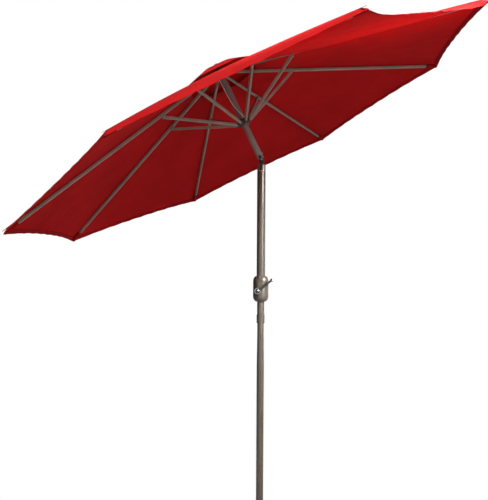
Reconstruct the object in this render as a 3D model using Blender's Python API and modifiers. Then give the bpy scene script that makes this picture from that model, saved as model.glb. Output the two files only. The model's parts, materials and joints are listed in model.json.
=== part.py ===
"""Patio umbrella: a two-piece pole with a crank, a tilt joint, eight ribs, eight struts and a vented canopy.

Metres, +Z up. The origin is the centre of the pole's foot. +X is the side that the canopy leans away from,
and the crank is on the -Y side. The umbrella stands open and tilted, as it is used against a low sun.
"""

import math

import bmesh
import bpy
from mathutils import Matrix, Vector

# Whole umbrella
TILT_HEIGHT = 1.795  # pole foot to the tilt pin
HUB_ABOVE_TILT = 0.500  # tilt pin to the rib hub, along the mast
RUNNER_BELOW_HUB = 0.284  # rib hub to the strut pivots, along the mast
TILT_ANGLE = math.radians(26.0)  # lean of the mast towards -X
RIM_RADIUS = 1.320  # mast axis to a canopy corner
RIB_SLOPE = math.radians(16.3)  # fall of an open rib
RIB_COUNT = 8
GAP = 0.0003  # between pieces that touch

# Lower pole and its joint
LOWER_POLE_RADIUS = 0.0190
POLE_WALL = 0.0015
SWAGE_RADIUS = 0.0170  # drawn-down upper end of the lower pole
SWAGE_START = 0.700
SWAGE_END = 0.875
FOOT_PLUG_FLANGE = 0.004
FOOT_PLUG_DEPTH = 0.035
COLLAR_RADIUS = 0.0210
COLLAR_HEIGHT = 0.045
NECK_RADIUS = 0.0187
NECK_LENGTH = 0.115
SNAP_BUTTON_RADIUS = 0.0032
SNAP_BUTTON_STAND = 0.0030
SNAP_BELOW_HOUSING = 0.038
SNAP_SPRING_SPREAD = 0.0019  # how much wider the spring's bend is than its legs' spacing
NECK_BELOW_HOUSING = 0.091
COLLAR_BELOW_NECK = 0.022

# Crank housing
HOUSING_BOTTOM = 1.046
HOUSING_HEIGHT = 0.135
HOUSING_RADIUS = 0.0405
HOUSING_WALL = 0.0030
HOUSING_SHOULDER = 0.026
CRANK_OFFSET = -0.015  # crank axis to the pole's axis, along X
CRANK_ABOVE_BOTTOM = 0.057
CRANK_SHAFT_RADIUS = 0.0045
CRANK_BOSS_RADIUS = 0.0120
CRANK_BOSS_STAND = 0.0070
CRANK_ARM_LENGTH = 0.094
CRANK_ARM_ANGLE = math.radians(38.2)
CRANK_ARM_THICKNESS = 0.0065
CRANK_ARM_HALF_WIDTH = 0.0070
KNOB_RADIUS = 0.0085
KNOB_LENGTH = 0.026
DRUM_RADIUS = 0.01233  # two turns wind the runner's travel
DRUM_WIDTH = 0.022
DRUM_FLANGE_RADIUS = 0.0185
HOUSING_SCREW_RADIUS = 0.0022
HOUSING_SCREW_OFFSET = 0.0270

# Upper pole and tilt joint
UPPER_POLE_RADIUS = 0.0222
SOCKET_HEIGHT = 0.036
SOCKET_TOP_BELOW_PIN = 0.029
SOCKET_WALL = 0.0046
SOCKET_SPIGOT = 0.028
SLOT_WIDTH = 0.016
TONGUE_HALF_THICKNESS = 0.0060
TONGUE_HALF_WIDTH = 0.0125
TILT_PIN_RADIUS = 0.0040
TILT_BUTTON_RADIUS = 0.0060
TILT_BUTTON_ABOVE_PIN = 0.032
TILT_BUTTON_STAND = 0.0035
YOKE_LENGTH = 0.058

# Mast, hub and runner
MAST_RADIUS = 0.0170
MAST_START = 0.006  # above the tilt pin
MAST_NOTCH_TOP = 0.024
MAST_ABOVE_HUB = 0.018
HUB_BODY = 0.0130  # thickness of the hub's core round the mast
HUB_RADIUS = MAST_RADIUS + HUB_BODY
HUB_HALF_HEIGHT = 0.0120
RIB_PIVOT_OUTSIDE_HUB = 0.0150
RIB_PIVOT_RADIUS = HUB_RADIUS + RIB_PIVOT_OUTSIDE_HUB
RING_WIRE_RADIUS = 0.0014
RUNNER_BODY = 0.0055  # thickness of the runner's core round the mast, with its running clearance
RUNNER_RADIUS = MAST_RADIUS + RUNNER_BODY
RUNNER_HALF_HEIGHT = 0.0200
STRUT_PIVOT_OUTSIDE_RUNNER = 0.0135
STRUT_PIVOT_RADIUS = RUNNER_RADIUS + STRUT_PIVOT_OUTSIDE_RUNNER
EAR_THICKNESS = 0.0022
RUNNING_CLEARANCE = 0.0005

# Ribs and struts
RIB_WIDTH = 0.0120
RIB_HEIGHT = 0.0160
RIB_WALL = 0.0011
RIB_END_INSET = 0.020  # canopy corner beyond the end of a rib tube
RIB_END_RADIUS = RIM_RADIUS - RIB_END_INSET
RIB_TONGUE_WIDTH = 0.0078
RIB_TONGUE_LENGTH = 0.022
BRACKET_DISTANCE = 0.361  # rib pivot to the strut's rivet, along the rib
STRUT_WIDTH = 0.0120
STRUT_HEIGHT = 0.0140
STRUT_WALL = 0.0014
STRUT_UNDER_RIB = 0.0010  # clearance between a rib and the strut folded along it
BRACKET_DROP = RIB_HEIGHT / 2 + STRUT_HEIGHT / 2 + STRUT_UNDER_RIB  # rib centre line to the rivet
RIVET_RADIUS = 0.0020

# Canopy
CLOTH = 0.0016
CLOTH_ABOVE_RIB = 0.0035
VENT_RADIUS = 0.200  # edge of the opening under the top tier
CAP_RADIUS = 0.275  # edge of the top tier
CAP_APEX_ABOVE_HUB = 0.052
CAP_RIM_CLEARANCE = 0.018  # top tier over the main canopy at its edge
CAP_HOLE_RADIUS = 0.0070
SCALLOP = 0.020  # how far the rim is cut in between two corners
SEAM_GAP = 0.0006
FINIAL_RADIUS = 0.0150
FINIAL_HEIGHT = 0.0120
PULLEY_RADIUS = 0.0090
PULLEY_WIDTH = 0.0050
PULLEY_BLOCK_TOP_RADIUS = 0.0110  # stays inside the cone of the top tier
CORD_RADIUS = 0.0018

POLE_SIDES = 24
SMALL_SIDES = 16

umbrella = None
cutters = None


def start_scene():
    global umbrella, cutters
    for obj in list(bpy.data.objects):
        bpy.data.objects.remove(obj)
    umbrella = bpy.data.collections.new("patio_umbrella")
    cutters = bpy.data.collections.new("cutters")
    bpy.context.scene.collection.children.link(umbrella)
    bpy.context.scene.collection.children.link(cutters)


def make_material(name, colour, roughness, metallic=0.0):
    material = bpy.data.materials.new(name)
    material.use_nodes = True
    shader = material.node_tree.nodes["Principled BSDF"]
    shader.inputs["Base Color"].default_value = (*colour, 1.0)
    shader.inputs["Roughness"].default_value = roughness
    shader.inputs["Metallic"].default_value = metallic
    return material


def add_object(name, data, material, matrix=Matrix(), where=None):
    obj = bpy.data.objects.new(name, data)
    if material is not None:
        obj.data.materials.append(material)
    obj.matrix_world = matrix
    (where or umbrella).objects.link(obj)
    return obj


def add_cutter(name, data, matrix=Matrix()):
    obj = add_object(name, data, None, matrix, cutters)
    obj.hide_render = True
    obj.display_type = "WIRE"
    return obj


def smooth(mesh, angle=30.0):
    mesh.shade_smooth()
    mesh.set_sharp_from_angle(angle=math.radians(angle))


def turned(name, profile, sides=SMALL_SIDES, matrix=Matrix(), material=None):
    """A solid turned about local Z from (radius, height) points that run down its outer side."""
    mesh = bpy.data.meshes.new(name)
    points = [(radius, 0.0, height) for radius, height in profile]
    closed = profile[0][0] > 0.0 or profile[-1][0] > 0.0
    edges = [(i, i + 1) for i in range(len(points) - 1)]
    if closed:
        edges.append((len(points) - 1, 0))
    mesh.from_pydata(points, edges, [])
    obj = add_object(name, mesh, material, matrix) if material else add_cutter(name, mesh, matrix)
    screw = obj.modifiers.new("Turn", "SCREW")
    screw.steps = sides
    screw.render_steps = sides
    screw.use_merge_vertices = True
    screw.merge_threshold = 0.00001
    screw.use_smooth_shade = True
    return obj


def rod_profile(radius, low, high):
    return [(0.0, high), (radius, high), (radius, low), (0.0, low)]


def tube_profile(outer, inner, low, high):
    return [(outer, high), (outer, low), (inner, low), (inner, high)]


def box_mesh(name, low, high, bevel=0.0, long_axis=None):
    """A box between two corners. With a bevel, the edges along long_axis are rounded, or all of them."""
    mesh = bpy.data.meshes.new(name)
    shape = bmesh.new()
    bmesh.ops.create_cube(shape, size=1.0)
    low, high = Vector(low), Vector(high)
    for vert in shape.verts:
        vert.co = (low + high) / 2 + Vector(a * b for a, b in zip(vert.co, high - low))
    if bevel:
        edges = shape.edges
        if long_axis is not None:
            edges = [e for e in edges if abs((e.verts[0].co - e.verts[1].co)[long_axis]) > 1e-9]
        bmesh.ops.bevel(shape, geom=list(edges), offset=bevel, segments=2, profile=0.5, affect="EDGES")
    shape.to_mesh(mesh)
    shape.free()
    smooth(mesh)
    return mesh


def boolean(obj, other, operation="DIFFERENCE"):
    modifier = obj.modifiers.new(operation.title(), "BOOLEAN")
    modifier.operation = operation
    modifier.object = other
    return obj


def cut(obj, *others):
    for other in others:
        boolean(obj, other)
    return obj


def join(obj, *others):
    for other in others:
        boolean(obj, other, "UNION")
    return obj


def wire(name, points, radius, material, matrix=Matrix(), resolution=2):
    curve = bpy.data.curves.new(name, "CURVE")
    curve.dimensions = "3D"
    curve.bevel_depth = radius
    curve.bevel_resolution = resolution
    curve.use_fill_caps = True
    spline = curve.splines.new("POLY")
    spline.points.add(len(points) - 1)
    for point, place in zip(spline.points, points):
        point.co = (*place, 1.0)
    return add_object(name, curve, material, matrix)


def helix(radius, low, high, turns, steps_per_turn=10):
    count = int(turns * steps_per_turn)
    return [
        (
            radius * math.cos(2 * math.pi * turns * i / count),
            radius * math.sin(2 * math.pi * turns * i / count),
            low + (high - low) * i / count,
        )
        for i in range(count + 1)
    ]


# Local +Z of a piece turned about an axis that lies along world or mast axes
ALONG_Y = Matrix.Rotation(math.radians(-90.0), 4, "X")  # local Z to +Y
ALONG_MINUS_Y = Matrix.Rotation(math.radians(90.0), 4, "X")  # local Z to -Y
ALONG_X = Matrix.Rotation(math.radians(90.0), 4, "Y")  # local Z to +X


def at(x, y, z):
    return Matrix.Translation((x, y, z))


MAST = at(0, 0, TILT_HEIGHT) @ Matrix.Rotation(-TILT_ANGLE, 4, "Y")
HUB = MAST @ at(0, 0, HUB_ABOVE_TILT)
RUNNER = HUB @ at(0, 0, -RUNNER_BELOW_HUB)
HOUSING_TOP = HOUSING_BOTTOM + HOUSING_HEIGHT
NECK_LOW = HOUSING_BOTTOM - NECK_BELOW_HOUSING
COLLAR_LOW = NECK_LOW - COLLAR_BELOW_NECK
CRANK_HEIGHT = HOUSING_BOTTOM + CRANK_ABOVE_BOTTOM
SOCKET_TOP = TILT_HEIGHT - SOCKET_TOP_BELOW_PIN
SOCKET_LOW = SOCKET_TOP - SOCKET_HEIGHT
UPPER_POLE_LOW = HOUSING_TOP - 0.030
MAST_BORE = MAST_RADIUS - POLE_WALL
RIB_LENGTH = (RIB_END_RADIUS - RIB_PIVOT_RADIUS) / math.cos(RIB_SLOPE)


def rib_azimuth(index):
    """Rib 1 is just in front of the side that the canopy leans to, and the numbers run clockwise from above."""
    return math.radians(180.0) + math.pi / RIB_COUNT - index * 2 * math.pi / RIB_COUNT


def rib_frame(index):
    """Local X runs out along the open rib, and local Y is its hinge axis."""
    return (
        HUB
        @ Matrix.Rotation(rib_azimuth(index), 4, "Z")
        @ at(RIB_PIVOT_RADIUS, 0, 0)
        @ Matrix.Rotation(RIB_SLOPE, 4, "Y")
    )


def strut_ends():
    """The strut's rivet and foot as (radius, height) from the hub, with the rib open."""
    rivet_x = BRACKET_DISTANCE * math.cos(RIB_SLOPE) - BRACKET_DROP * math.sin(RIB_SLOPE)
    rivet_z = -BRACKET_DISTANCE * math.sin(RIB_SLOPE) - BRACKET_DROP * math.cos(RIB_SLOPE)
    return (RIB_PIVOT_RADIUS + rivet_x, rivet_z), (STRUT_PIVOT_RADIUS, -RUNNER_BELOW_HUB)


def strut_frame(index):
    """Local X runs from the rivet on the rib to the foot in the runner."""
    (rivet_r, rivet_z), (foot_r, foot_z) = strut_ends()
    fall = math.atan2(rivet_z - foot_z, rivet_r - foot_r)
    return (
        HUB
        @ Matrix.Rotation(rib_azimuth(index), 4, "Z")
        @ at(rivet_r, 0, rivet_z)
        @ Matrix.Rotation(math.pi - fall, 4, "Y")
    )


def strut_length():
    (rivet_r, rivet_z), (foot_r, foot_z) = strut_ends()
    return math.hypot(rivet_r - foot_r, rivet_z - foot_z)


def build_lower_pole(paint, plastic, steel):
    turned(
        "foot_plug",
        [
            (0.0, FOOT_PLUG_DEPTH),
            (LOWER_POLE_RADIUS - POLE_WALL - GAP, FOOT_PLUG_DEPTH),
            (LOWER_POLE_RADIUS - POLE_WALL - GAP, FOOT_PLUG_FLANGE),
            (LOWER_POLE_RADIUS, FOOT_PLUG_FLANGE),
            (LOWER_POLE_RADIUS, 0.0),
            (0.0, 0.0),
        ],
        POLE_SIDES,
        material=plastic,
    )
    swage_top = HOUSING_BOTTOM - 0.012
    wall = POLE_WALL
    pole = turned(
        "lower_pole",
        [
            (SWAGE_RADIUS, swage_top),
            (SWAGE_RADIUS, SWAGE_END),
            (LOWER_POLE_RADIUS, SWAGE_START),
            (LOWER_POLE_RADIUS, FOOT_PLUG_FLANGE + GAP),
            (LOWER_POLE_RADIUS - wall, FOOT_PLUG_FLANGE + GAP),
            (LOWER_POLE_RADIUS - wall, SWAGE_START),
            (SWAGE_RADIUS - wall, SWAGE_END),
            (SWAGE_RADIUS - wall, swage_top),
        ],
        POLE_SIDES,
        material=paint,
    )
    neck_bore = SWAGE_RADIUS + GAP
    neck = turned(
        "neck_tube",
        tube_profile(NECK_RADIUS, neck_bore, NECK_LOW, NECK_LOW + NECK_LENGTH),
        POLE_SIDES,
        material=paint,
    )
    collar = turned(
        "pole_collar",
        [
            (COLLAR_RADIUS - 0.001, COLLAR_LOW + COLLAR_HEIGHT),
            (COLLAR_RADIUS, COLLAR_LOW + COLLAR_HEIGHT - 0.001),
            (COLLAR_RADIUS, COLLAR_LOW + 0.0015),
            (COLLAR_RADIUS - 0.0015, COLLAR_LOW),
            (neck_bore, COLLAR_LOW),
            (neck_bore, NECK_LOW - GAP),
            (NECK_RADIUS + GAP, NECK_LOW - GAP),
            (NECK_RADIUS + GAP, COLLAR_LOW + COLLAR_HEIGHT),
        ],
        POLE_SIDES,
        material=paint,
    )
    snap_place = at(0, 0, HOUSING_BOTTOM - SNAP_BELOW_HOUSING) @ ALONG_Y
    hole = turned(
        "snap_hole", rod_profile(SNAP_BUTTON_RADIUS + GAP, 0.005, 0.03), SMALL_SIDES, snap_place
    )
    cut(pole, hole)
    cut(neck, hole)
    button_root = SWAGE_RADIUS - POLE_WALL - 0.004
    turned(
        "snap_button",
        [
            (0.0, NECK_RADIUS + SNAP_BUTTON_STAND),
            (SNAP_BUTTON_RADIUS * 0.7, NECK_RADIUS + SNAP_BUTTON_STAND),
            (SNAP_BUTTON_RADIUS, NECK_RADIUS + SNAP_BUTTON_STAND - 0.001),
            (SNAP_BUTTON_RADIUS, button_root),
            (0.0, button_root),
        ],
        SMALL_SIDES,
        snap_place,
        steel,
    )
    return collar


def build_snap_spring(steel):
    """A bent spring wire inside the lower pole, behind the snap button."""
    height = HOUSING_BOTTOM - SNAP_BELOW_HOUSING
    radius = 0.0009
    tip = SWAGE_RADIUS - POLE_WALL - 0.004 - radius - GAP
    back = -(SWAGE_RADIUS - POLE_WALL - radius - GAP - 0.0005)
    bend_radius = (tip - back + SNAP_SPRING_SPREAD) / 2
    bend = [
        (0.0, back + bend_radius * (1 - math.cos(angle)), height - 0.034 - bend_radius * math.sin(angle))
        for angle in (math.pi * step / 6 for step in range(7))
    ]
    points = [(0.0, back, height + 0.012), (0.0, back, height - 0.02)]
    points += bend
    points += [(0.0, tip - 0.0006, height - 0.010), (0.0, tip, height - 0.002), (0.0, tip, height + 0.004)]
    wire("snap_spring", points, radius, steel)


def housing_profile():
    """Outer side from top to bottom with round shoulders, then the inner side back up."""
    low, high = HOUSING_BOTTOM, HOUSING_TOP
    outer, inner = [], []
    top_mouth = UPPER_POLE_RADIUS + 0.0012
    low_mouth = NECK_RADIUS + 0.0012
    for step in range(5):
        angle = math.pi / 2 * step / 4
        outer.append(
            (
                top_mouth + (HOUSING_RADIUS - top_mouth) * math.sin(angle),
                high - HOUSING_SHOULDER * (1 - math.cos(angle)),
            )
        )
    for step in range(5):
        angle = math.pi / 2 * step / 4
        outer.append(
            (
                low_mouth + (HOUSING_RADIUS - low_mouth) * math.cos(angle),
                low + HOUSING_SHOULDER * (1 - math.sin(angle)),
            )
        )
    inner_radius = HOUSING_RADIUS - HOUSING_WALL
    seat = 0.026
    inner = [
        (NECK_RADIUS + GAP, low),
        (NECK_RADIUS + GAP, low + seat),
        (inner_radius - 0.006, low + seat),
        (inner_radius, low + seat + 0.006),
        (inner_radius, high - seat - 0.006),
        (inner_radius - 0.006, high - seat),
        (UPPER_POLE_RADIUS + GAP, high - seat),
        (UPPER_POLE_RADIUS + GAP, high),
    ]
    return outer + inner


def build_housing(paint, steel):
    reach = 2 * HOUSING_RADIUS
    mid = HOUSING_BOTTOM + HOUSING_HEIGHT / 2
    boss_face = math.sqrt(HOUSING_RADIUS**2 - CRANK_OFFSET**2) + CRANK_BOSS_STAND
    boss_root = HOUSING_RADIUS - HOUSING_WALL - 0.008
    crank_place = at(CRANK_OFFSET, 0, CRANK_HEIGHT) @ ALONG_MINUS_Y
    boss = turned(
        "crank_boss",
        [
            (0.0, boss_face),
            (CRANK_BOSS_RADIUS - 0.002, boss_face),
            (CRANK_BOSS_RADIUS, boss_face - 0.002),
            (CRANK_BOSS_RADIUS, boss_root),
            (0.0, boss_root),
        ],
        SMALL_SIDES,
        crank_place,
    )
    bush_radius = CRANK_SHAFT_RADIUS + 0.0030
    boss_bore = turned(
        "boss_bore", rod_profile(bush_radius + GAP, boss_root - 0.01, boss_face + 0.01), SMALL_SIDES, crank_place
    )
    seat = turned("rear_seat", rod_profile(0.0095, -0.036, -0.022), SMALL_SIDES, crank_place)
    seat_bore = turned(
        "rear_seat_bore",
        rod_profile(CRANK_SHAFT_RADIUS + GAP, -0.032, -0.010),
        SMALL_SIDES,
        crank_place,
    )
    screw_sites = [
        at(side * HOUSING_SCREW_OFFSET, 0, mid + rise) @ ALONG_Y
        for side, rise in ((-1, 0.022), (1, -0.022))
    ]
    for name, side in (("housing_front", -1), ("housing_back", 1)):
        shell = turned(name, housing_profile(), 28, material=paint)
        if side < 0:
            join(shell, boss)
            cut(shell, boss_bore)
            low, high = (-reach, -GAP / 2, HOUSING_BOTTOM - 0.05), (reach, reach, HOUSING_TOP + 0.05)
        else:
            join(shell, seat)
            cut(shell, seat_bore)
            low, high = (-reach, -reach, HOUSING_BOTTOM - 0.05), (reach, GAP / 2, HOUSING_TOP + 0.05)
        for number, site in enumerate(screw_sites):
            post = turned(f"{name}_post_{number}", rod_profile(0.0052, -0.031, 0.031), 12, site)
            join(shell, post)
        cut(shell, add_cutter(f"{name}_half", box_mesh(f"{name}_half", low, high)))
        for number, site in enumerate(screw_sites):
            drill = turned(
                f"{name}_drill_{number}",
                rod_profile(HOUSING_SCREW_RADIUS + GAP, -0.020, 0.060),
                12,
                site,
            )
            cut(shell, drill)
    head_face = 0.0345
    for number, site in enumerate(screw_sites):
        turned(
            f"housing_screw_{number + 1}",
            [
                (0.0, head_face),
                (0.0030, head_face),
                (0.0040, head_face - 0.0012),
                (0.0040, head_face - 0.0022),
                (HOUSING_SCREW_RADIUS, head_face - 0.0022),
                (HOUSING_SCREW_RADIUS, -0.018),
                (0.0, -0.018),
            ],
            12,
            site,
            steel,
        )
    for name in ("housing_back",):
        for number, site in enumerate(screw_sites):
            counter = turned(f"screw_recess_{number}", rod_profile(0.0044, 0.0319, 0.06), 12, site)
            cut(bpy.data.objects[name], counter)
    return boss_face, bush_radius, boss_root


def build_crank(steel, plastic, black, boss_face, bush_radius, boss_root):
    place = at(CRANK_OFFSET, 0, CRANK_HEIGHT) @ ALONG_MINUS_Y
    turned(
        "crank_bush",
        tube_profile(bush_radius, CRANK_SHAFT_RADIUS + GAP, boss_root + 0.001, boss_face - 0.001),
        SMALL_SIDES,
        place,
        plastic,
    )
    arm_low = boss_face + 0.0010
    arm_high = arm_low + CRANK_ARM_THICKNESS
    turned(
        "crank_shaft",
        rod_profile(CRANK_SHAFT_RADIUS, -0.030, arm_low - GAP),
        SMALL_SIDES,
        place,
        steel,
    )
    half = DRUM_WIDTH / 2
    flange = 0.0020
    turned(
        "cord_drum",
        [
            (DRUM_FLANGE_RADIUS, half),
            (DRUM_FLANGE_RADIUS, half - flange),
            (DRUM_RADIUS, half - flange),
            (DRUM_RADIUS, flange - half),
            (DRUM_FLANGE_RADIUS, flange - half),
            (DRUM_FLANGE_RADIUS, -half),
            (CRANK_SHAFT_RADIUS + GAP, -half),
            (CRANK_SHAFT_RADIUS + GAP, half),
        ],
        POLE_SIDES,
        place,
        plastic,
    )
    wire(
        "brake_spring",
        helix(CRANK_SHAFT_RADIUS + 0.0022, half + 0.0025, boss_root - 0.0025, 4.0),
        0.0009,
        steel,
        place,
        resolution=1,
    )
    # The arm lies in the plane that the crank turns in, rounded at both ends.
    arm_place = place @ Matrix.Rotation(CRANK_ARM_ANGLE, 4, "Z")
    bar = bpy.data.curves.new("crank_arm_outline", "CURVE")
    bar.dimensions = "2D"
    bar.fill_mode = "BOTH"
    bar.extrude = CRANK_ARM_THICKNESS / 2 - 0.0008
    bar.bevel_depth = 0.0008
    bar.bevel_resolution = 0
    outline = []
    tip_half = CRANK_ARM_HALF_WIDTH * 0.72
    hub_half = CRANK_ARM_HALF_WIDTH * 1.25
    for step in range(9):
        angle = math.pi / 2 + math.pi * step / 8
        outline.append((hub_half * math.cos(angle), hub_half * math.sin(angle)))
    outline.append((CRANK_ARM_LENGTH * 0.22, -CRANK_ARM_HALF_WIDTH * 0.8))
    for step in range(9):
        angle = -math.pi / 2 + math.pi * step / 8
        outline.append((CRANK_ARM_LENGTH + tip_half * math.cos(angle), tip_half * math.sin(angle)))
    outline.append((CRANK_ARM_LENGTH * 0.22, CRANK_ARM_HALF_WIDTH * 0.8))
    spline = bar.splines.new("POLY")
    spline.points.add(len(outline) - 1)
    for point, (x, y) in zip(spline.points, outline):
        point.co = (x, y, 0.0, 1.0)
    spline.use_cyclic_u = True
    middle = arm_place @ at(0, 0, (arm_low + arm_high) / 2)
    draft = add_object("crank_arm_draft", bar, steel, middle)
    bpy.context.view_layer.update()
    graph = bpy.context.evaluated_depsgraph_get()
    mesh = bpy.data.meshes.new_from_object(draft.evaluated_get(graph))
    welded = bmesh.new()
    welded.from_mesh(mesh)
    bmesh.ops.remove_doubles(welded, verts=welded.verts, dist=0.00001)
    bmesh.ops.recalc_face_normals(welded, faces=welded.faces)
    welded.to_mesh(mesh)
    welded.free()
    bpy.data.objects.remove(draft)
    arm = add_object("crank_arm", mesh, None, middle)
    knob_place = arm_place @ at(CRANK_ARM_LENGTH, 0, 0)
    stud_radius = 0.0028
    drill = turned(
        "knob_stud_bore", rod_profile(stud_radius + GAP, arm_low - 0.01, arm_high + 0.01), 12, knob_place
    )
    cut(arm, drill)
    knob_low = arm_high + 0.0010
    turned(
        "knob_stud",
        [
            (0.0, knob_low + KNOB_LENGTH - 0.006),
            (stud_radius, knob_low + KNOB_LENGTH - 0.006),
            (stud_radius, arm_low - 0.0004),
            (stud_radius + 0.002, arm_low - 0.0004),
            (stud_radius + 0.002, arm_low - 0.0018),
            (0.0, arm_low - 0.0018),
        ],
        12,
        knob_place,
        steel,
    )
    turned(
        "crank_knob",
        [
            (0.0, knob_low + KNOB_LENGTH),
            (KNOB_RADIUS * 0.70, knob_low + KNOB_LENGTH),
            (KNOB_RADIUS, knob_low + KNOB_LENGTH - 0.004),
            (KNOB_RADIUS * 0.86, knob_low + KNOB_LENGTH * 0.45),
            (KNOB_RADIUS, knob_low + 0.003),
            (KNOB_RADIUS * 0.80, knob_low),
            (stud_radius + GAP, knob_low),
            (stud_radius + GAP, knob_low + KNOB_LENGTH - 0.005),
            (0.0, knob_low + KNOB_LENGTH - 0.005),
        ],
        SMALL_SIDES,
        knob_place,
        black,
    )


def build_upper_pole(paint, alloy, black):
    turned(
        "upper_pole",
        tube_profile(UPPER_POLE_RADIUS, UPPER_POLE_RADIUS - POLE_WALL, UPPER_POLE_LOW, SOCKET_LOW - GAP),
        POLE_SIDES,
        material=paint,
    )
    socket_bore = UPPER_POLE_RADIUS - SOCKET_WALL
    spigot = UPPER_POLE_RADIUS - POLE_WALL - GAP
    floor = SOCKET_LOW + 0.006
    socket = turned(
        "tilt_socket",
        [
            (UPPER_POLE_RADIUS - 0.0008, SOCKET_TOP),
            (UPPER_POLE_RADIUS, SOCKET_TOP - 0.0008),
            (UPPER_POLE_RADIUS, SOCKET_LOW),
            (spigot, SOCKET_LOW),
            (spigot, SOCKET_LOW - SOCKET_SPIGOT),
            (spigot - 0.003, SOCKET_LOW - SOCKET_SPIGOT),
            (0.0050, SOCKET_LOW),
            (0.0050, floor),
            (socket_bore, floor),
            (socket_bore, SOCKET_TOP),
        ],
        POLE_SIDES,
        material=alloy,
    )
    half = SLOT_WIDTH / 2
    slot = add_cutter(
        "socket_slot", box_mesh("socket_slot", (-half, -0.05, floor + 0.001), (half, 0.05, SOCKET_TOP + 0.01))
    )
    cut(socket, slot)
    core = turned(
        "tilt_core",
        rod_profile(socket_bore - GAP, floor + GAP, SOCKET_TOP - 0.003),
        POLE_SIDES,
        material=black,
    )
    tongue = add_cutter(
        "tongue",
        box_mesh(
            "tongue",
            (-TONGUE_HALF_WIDTH, -TONGUE_HALF_THICKNESS, SOCKET_TOP - 0.006),
            (TONGUE_HALF_WIDTH, TONGUE_HALF_THICKNESS, TILT_HEIGHT),
        ),
    )
    pin_place = at(0, 0, TILT_HEIGHT) @ ALONG_Y
    nose = turned(
        "tongue_nose",
        rod_profile(TONGUE_HALF_WIDTH, -TONGUE_HALF_THICKNESS, TONGUE_HALF_THICKNESS),
        POLE_SIDES,
        pin_place,
    )
    bore = turned("tongue_bore", rod_profile(TILT_PIN_RADIUS + GAP, -0.04, 0.04), SMALL_SIDES, pin_place)
    join(core, tongue, nose)
    cut(core, bore)


def build_mast(paint, black, steel, chrome):
    notch_half = SLOT_WIDTH / 2 - 0.001
    mast = turned(
        "mast",
        tube_profile(MAST_RADIUS, MAST_BORE, MAST_START, HUB_ABOVE_TILT + MAST_ABOVE_HUB),
        POLE_SIDES,
        MAST,
        paint,
    )
    notch = add_cutter(
        "mast_notch", box_mesh("mast_notch", (-notch_half, -0.05, -0.02), (notch_half, 0.05, MAST_NOTCH_TOP)), MAST
    )
    button_place = MAST @ at(0, 0, TILT_BUTTON_ABOVE_PIN) @ ALONG_X
    button_hole = turned(
        "button_hole", rod_profile(TILT_BUTTON_RADIUS + GAP, 0.003, 0.03), SMALL_SIDES, button_place
    )
    cut(mast, notch, button_hole)
    yoke_radius = MAST_BORE - GAP
    yoke = turned("tilt_yoke", rod_profile(yoke_radius, -0.02, YOKE_LENGTH), POLE_SIDES, MAST, black)
    pin_place = MAST @ ALONG_Y
    ear_half = math.sqrt(yoke_radius**2 - (TONGUE_HALF_THICKNESS + 0.0004) ** 2) - 0.0006
    outline = add_cutter("yoke_outline", box_mesh("yoke_outline", (-0.03, -0.03, 0.0), (0.03, 0.03, 0.10)), MAST)
    ears = turned("yoke_ears", rod_profile(ear_half, -0.03, 0.03), POLE_SIDES, pin_place)
    join(outline, ears)
    head_seat = turned(
        "pin_head_seat",
        rod_profile(TILT_PIN_RADIUS + 0.002 + GAP, yoke_radius - 0.0030, 0.03),
        SMALL_SIDES,
        pin_place @ Matrix.Rotation(math.pi, 4, "X"),
    )
    gap_half = TONGUE_HALF_THICKNESS + 0.0004
    gap = add_cutter(
        "yoke_gap",
        box_mesh("yoke_gap", (-0.03, -gap_half, -0.03), (0.03, gap_half, TONGUE_HALF_WIDTH + 0.004)),
        MAST,
    )
    bore = turned("yoke_bore", rod_profile(TILT_PIN_RADIUS + GAP, -0.04, 0.04), SMALL_SIDES, pin_place)
    pocket = turned(
        "button_pocket", rod_profile(TILT_BUTTON_RADIUS + GAP, 0.0, 0.03), SMALL_SIDES, button_place
    )
    boolean(yoke, outline, "INTERSECT")
    cut(yoke, gap, bore, pocket, head_seat)
    head = yoke_radius + 0.0016
    turned(
        "tilt_pin",
        [
            (0.0, head),
            (TILT_PIN_RADIUS + 0.0015, head),
            (TILT_PIN_RADIUS + 0.002, head - 0.001),
            (TILT_PIN_RADIUS + 0.002, yoke_radius - 0.0027),
            (TILT_PIN_RADIUS, yoke_radius - 0.0027),
            (TILT_PIN_RADIUS, -yoke_radius),
            (0.0, -yoke_radius),
        ],
        SMALL_SIDES,
        pin_place @ Matrix.Rotation(math.pi, 4, "X"),
        steel,
    )
    turned(
        "tilt_button",
        [
            (0.0, MAST_RADIUS + TILT_BUTTON_STAND),
            (TILT_BUTTON_RADIUS - 0.0015, MAST_RADIUS + TILT_BUTTON_STAND),
            (TILT_BUTTON_RADIUS, MAST_RADIUS + TILT_BUTTON_STAND - 0.0012),
            (TILT_BUTTON_RADIUS, 0.0095),
            (0.0, 0.0095),
        ],
        SMALL_SIDES,
        button_place,
        chrome,
    )
    wire(
        "tilt_button_spring",
        helix(TILT_BUTTON_RADIUS - 0.0018, 0.0012, 0.0082, 3.0),
        0.0006,
        steel,
        button_place,
        resolution=1,
    )


def ear_pair(name, gap_half, inner, outer, half_height, matrix):
    """Two upright ears with a foot between them, which a rib or strut end hinges in."""
    pieces = []
    for side in (-1, 1):
        low = min(side * gap_half, side * (gap_half + EAR_THICKNESS))
        mesh = box_mesh(
            f"{name}_ear",
            (inner, low, -half_height),
            (outer, low + EAR_THICKNESS, half_height),
            bevel=0.0030,
            long_axis=1,
        )
        pieces.append(add_cutter(f"{name}_ear_{'ab'[side > 0]}", mesh, matrix))
    return pieces


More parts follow.
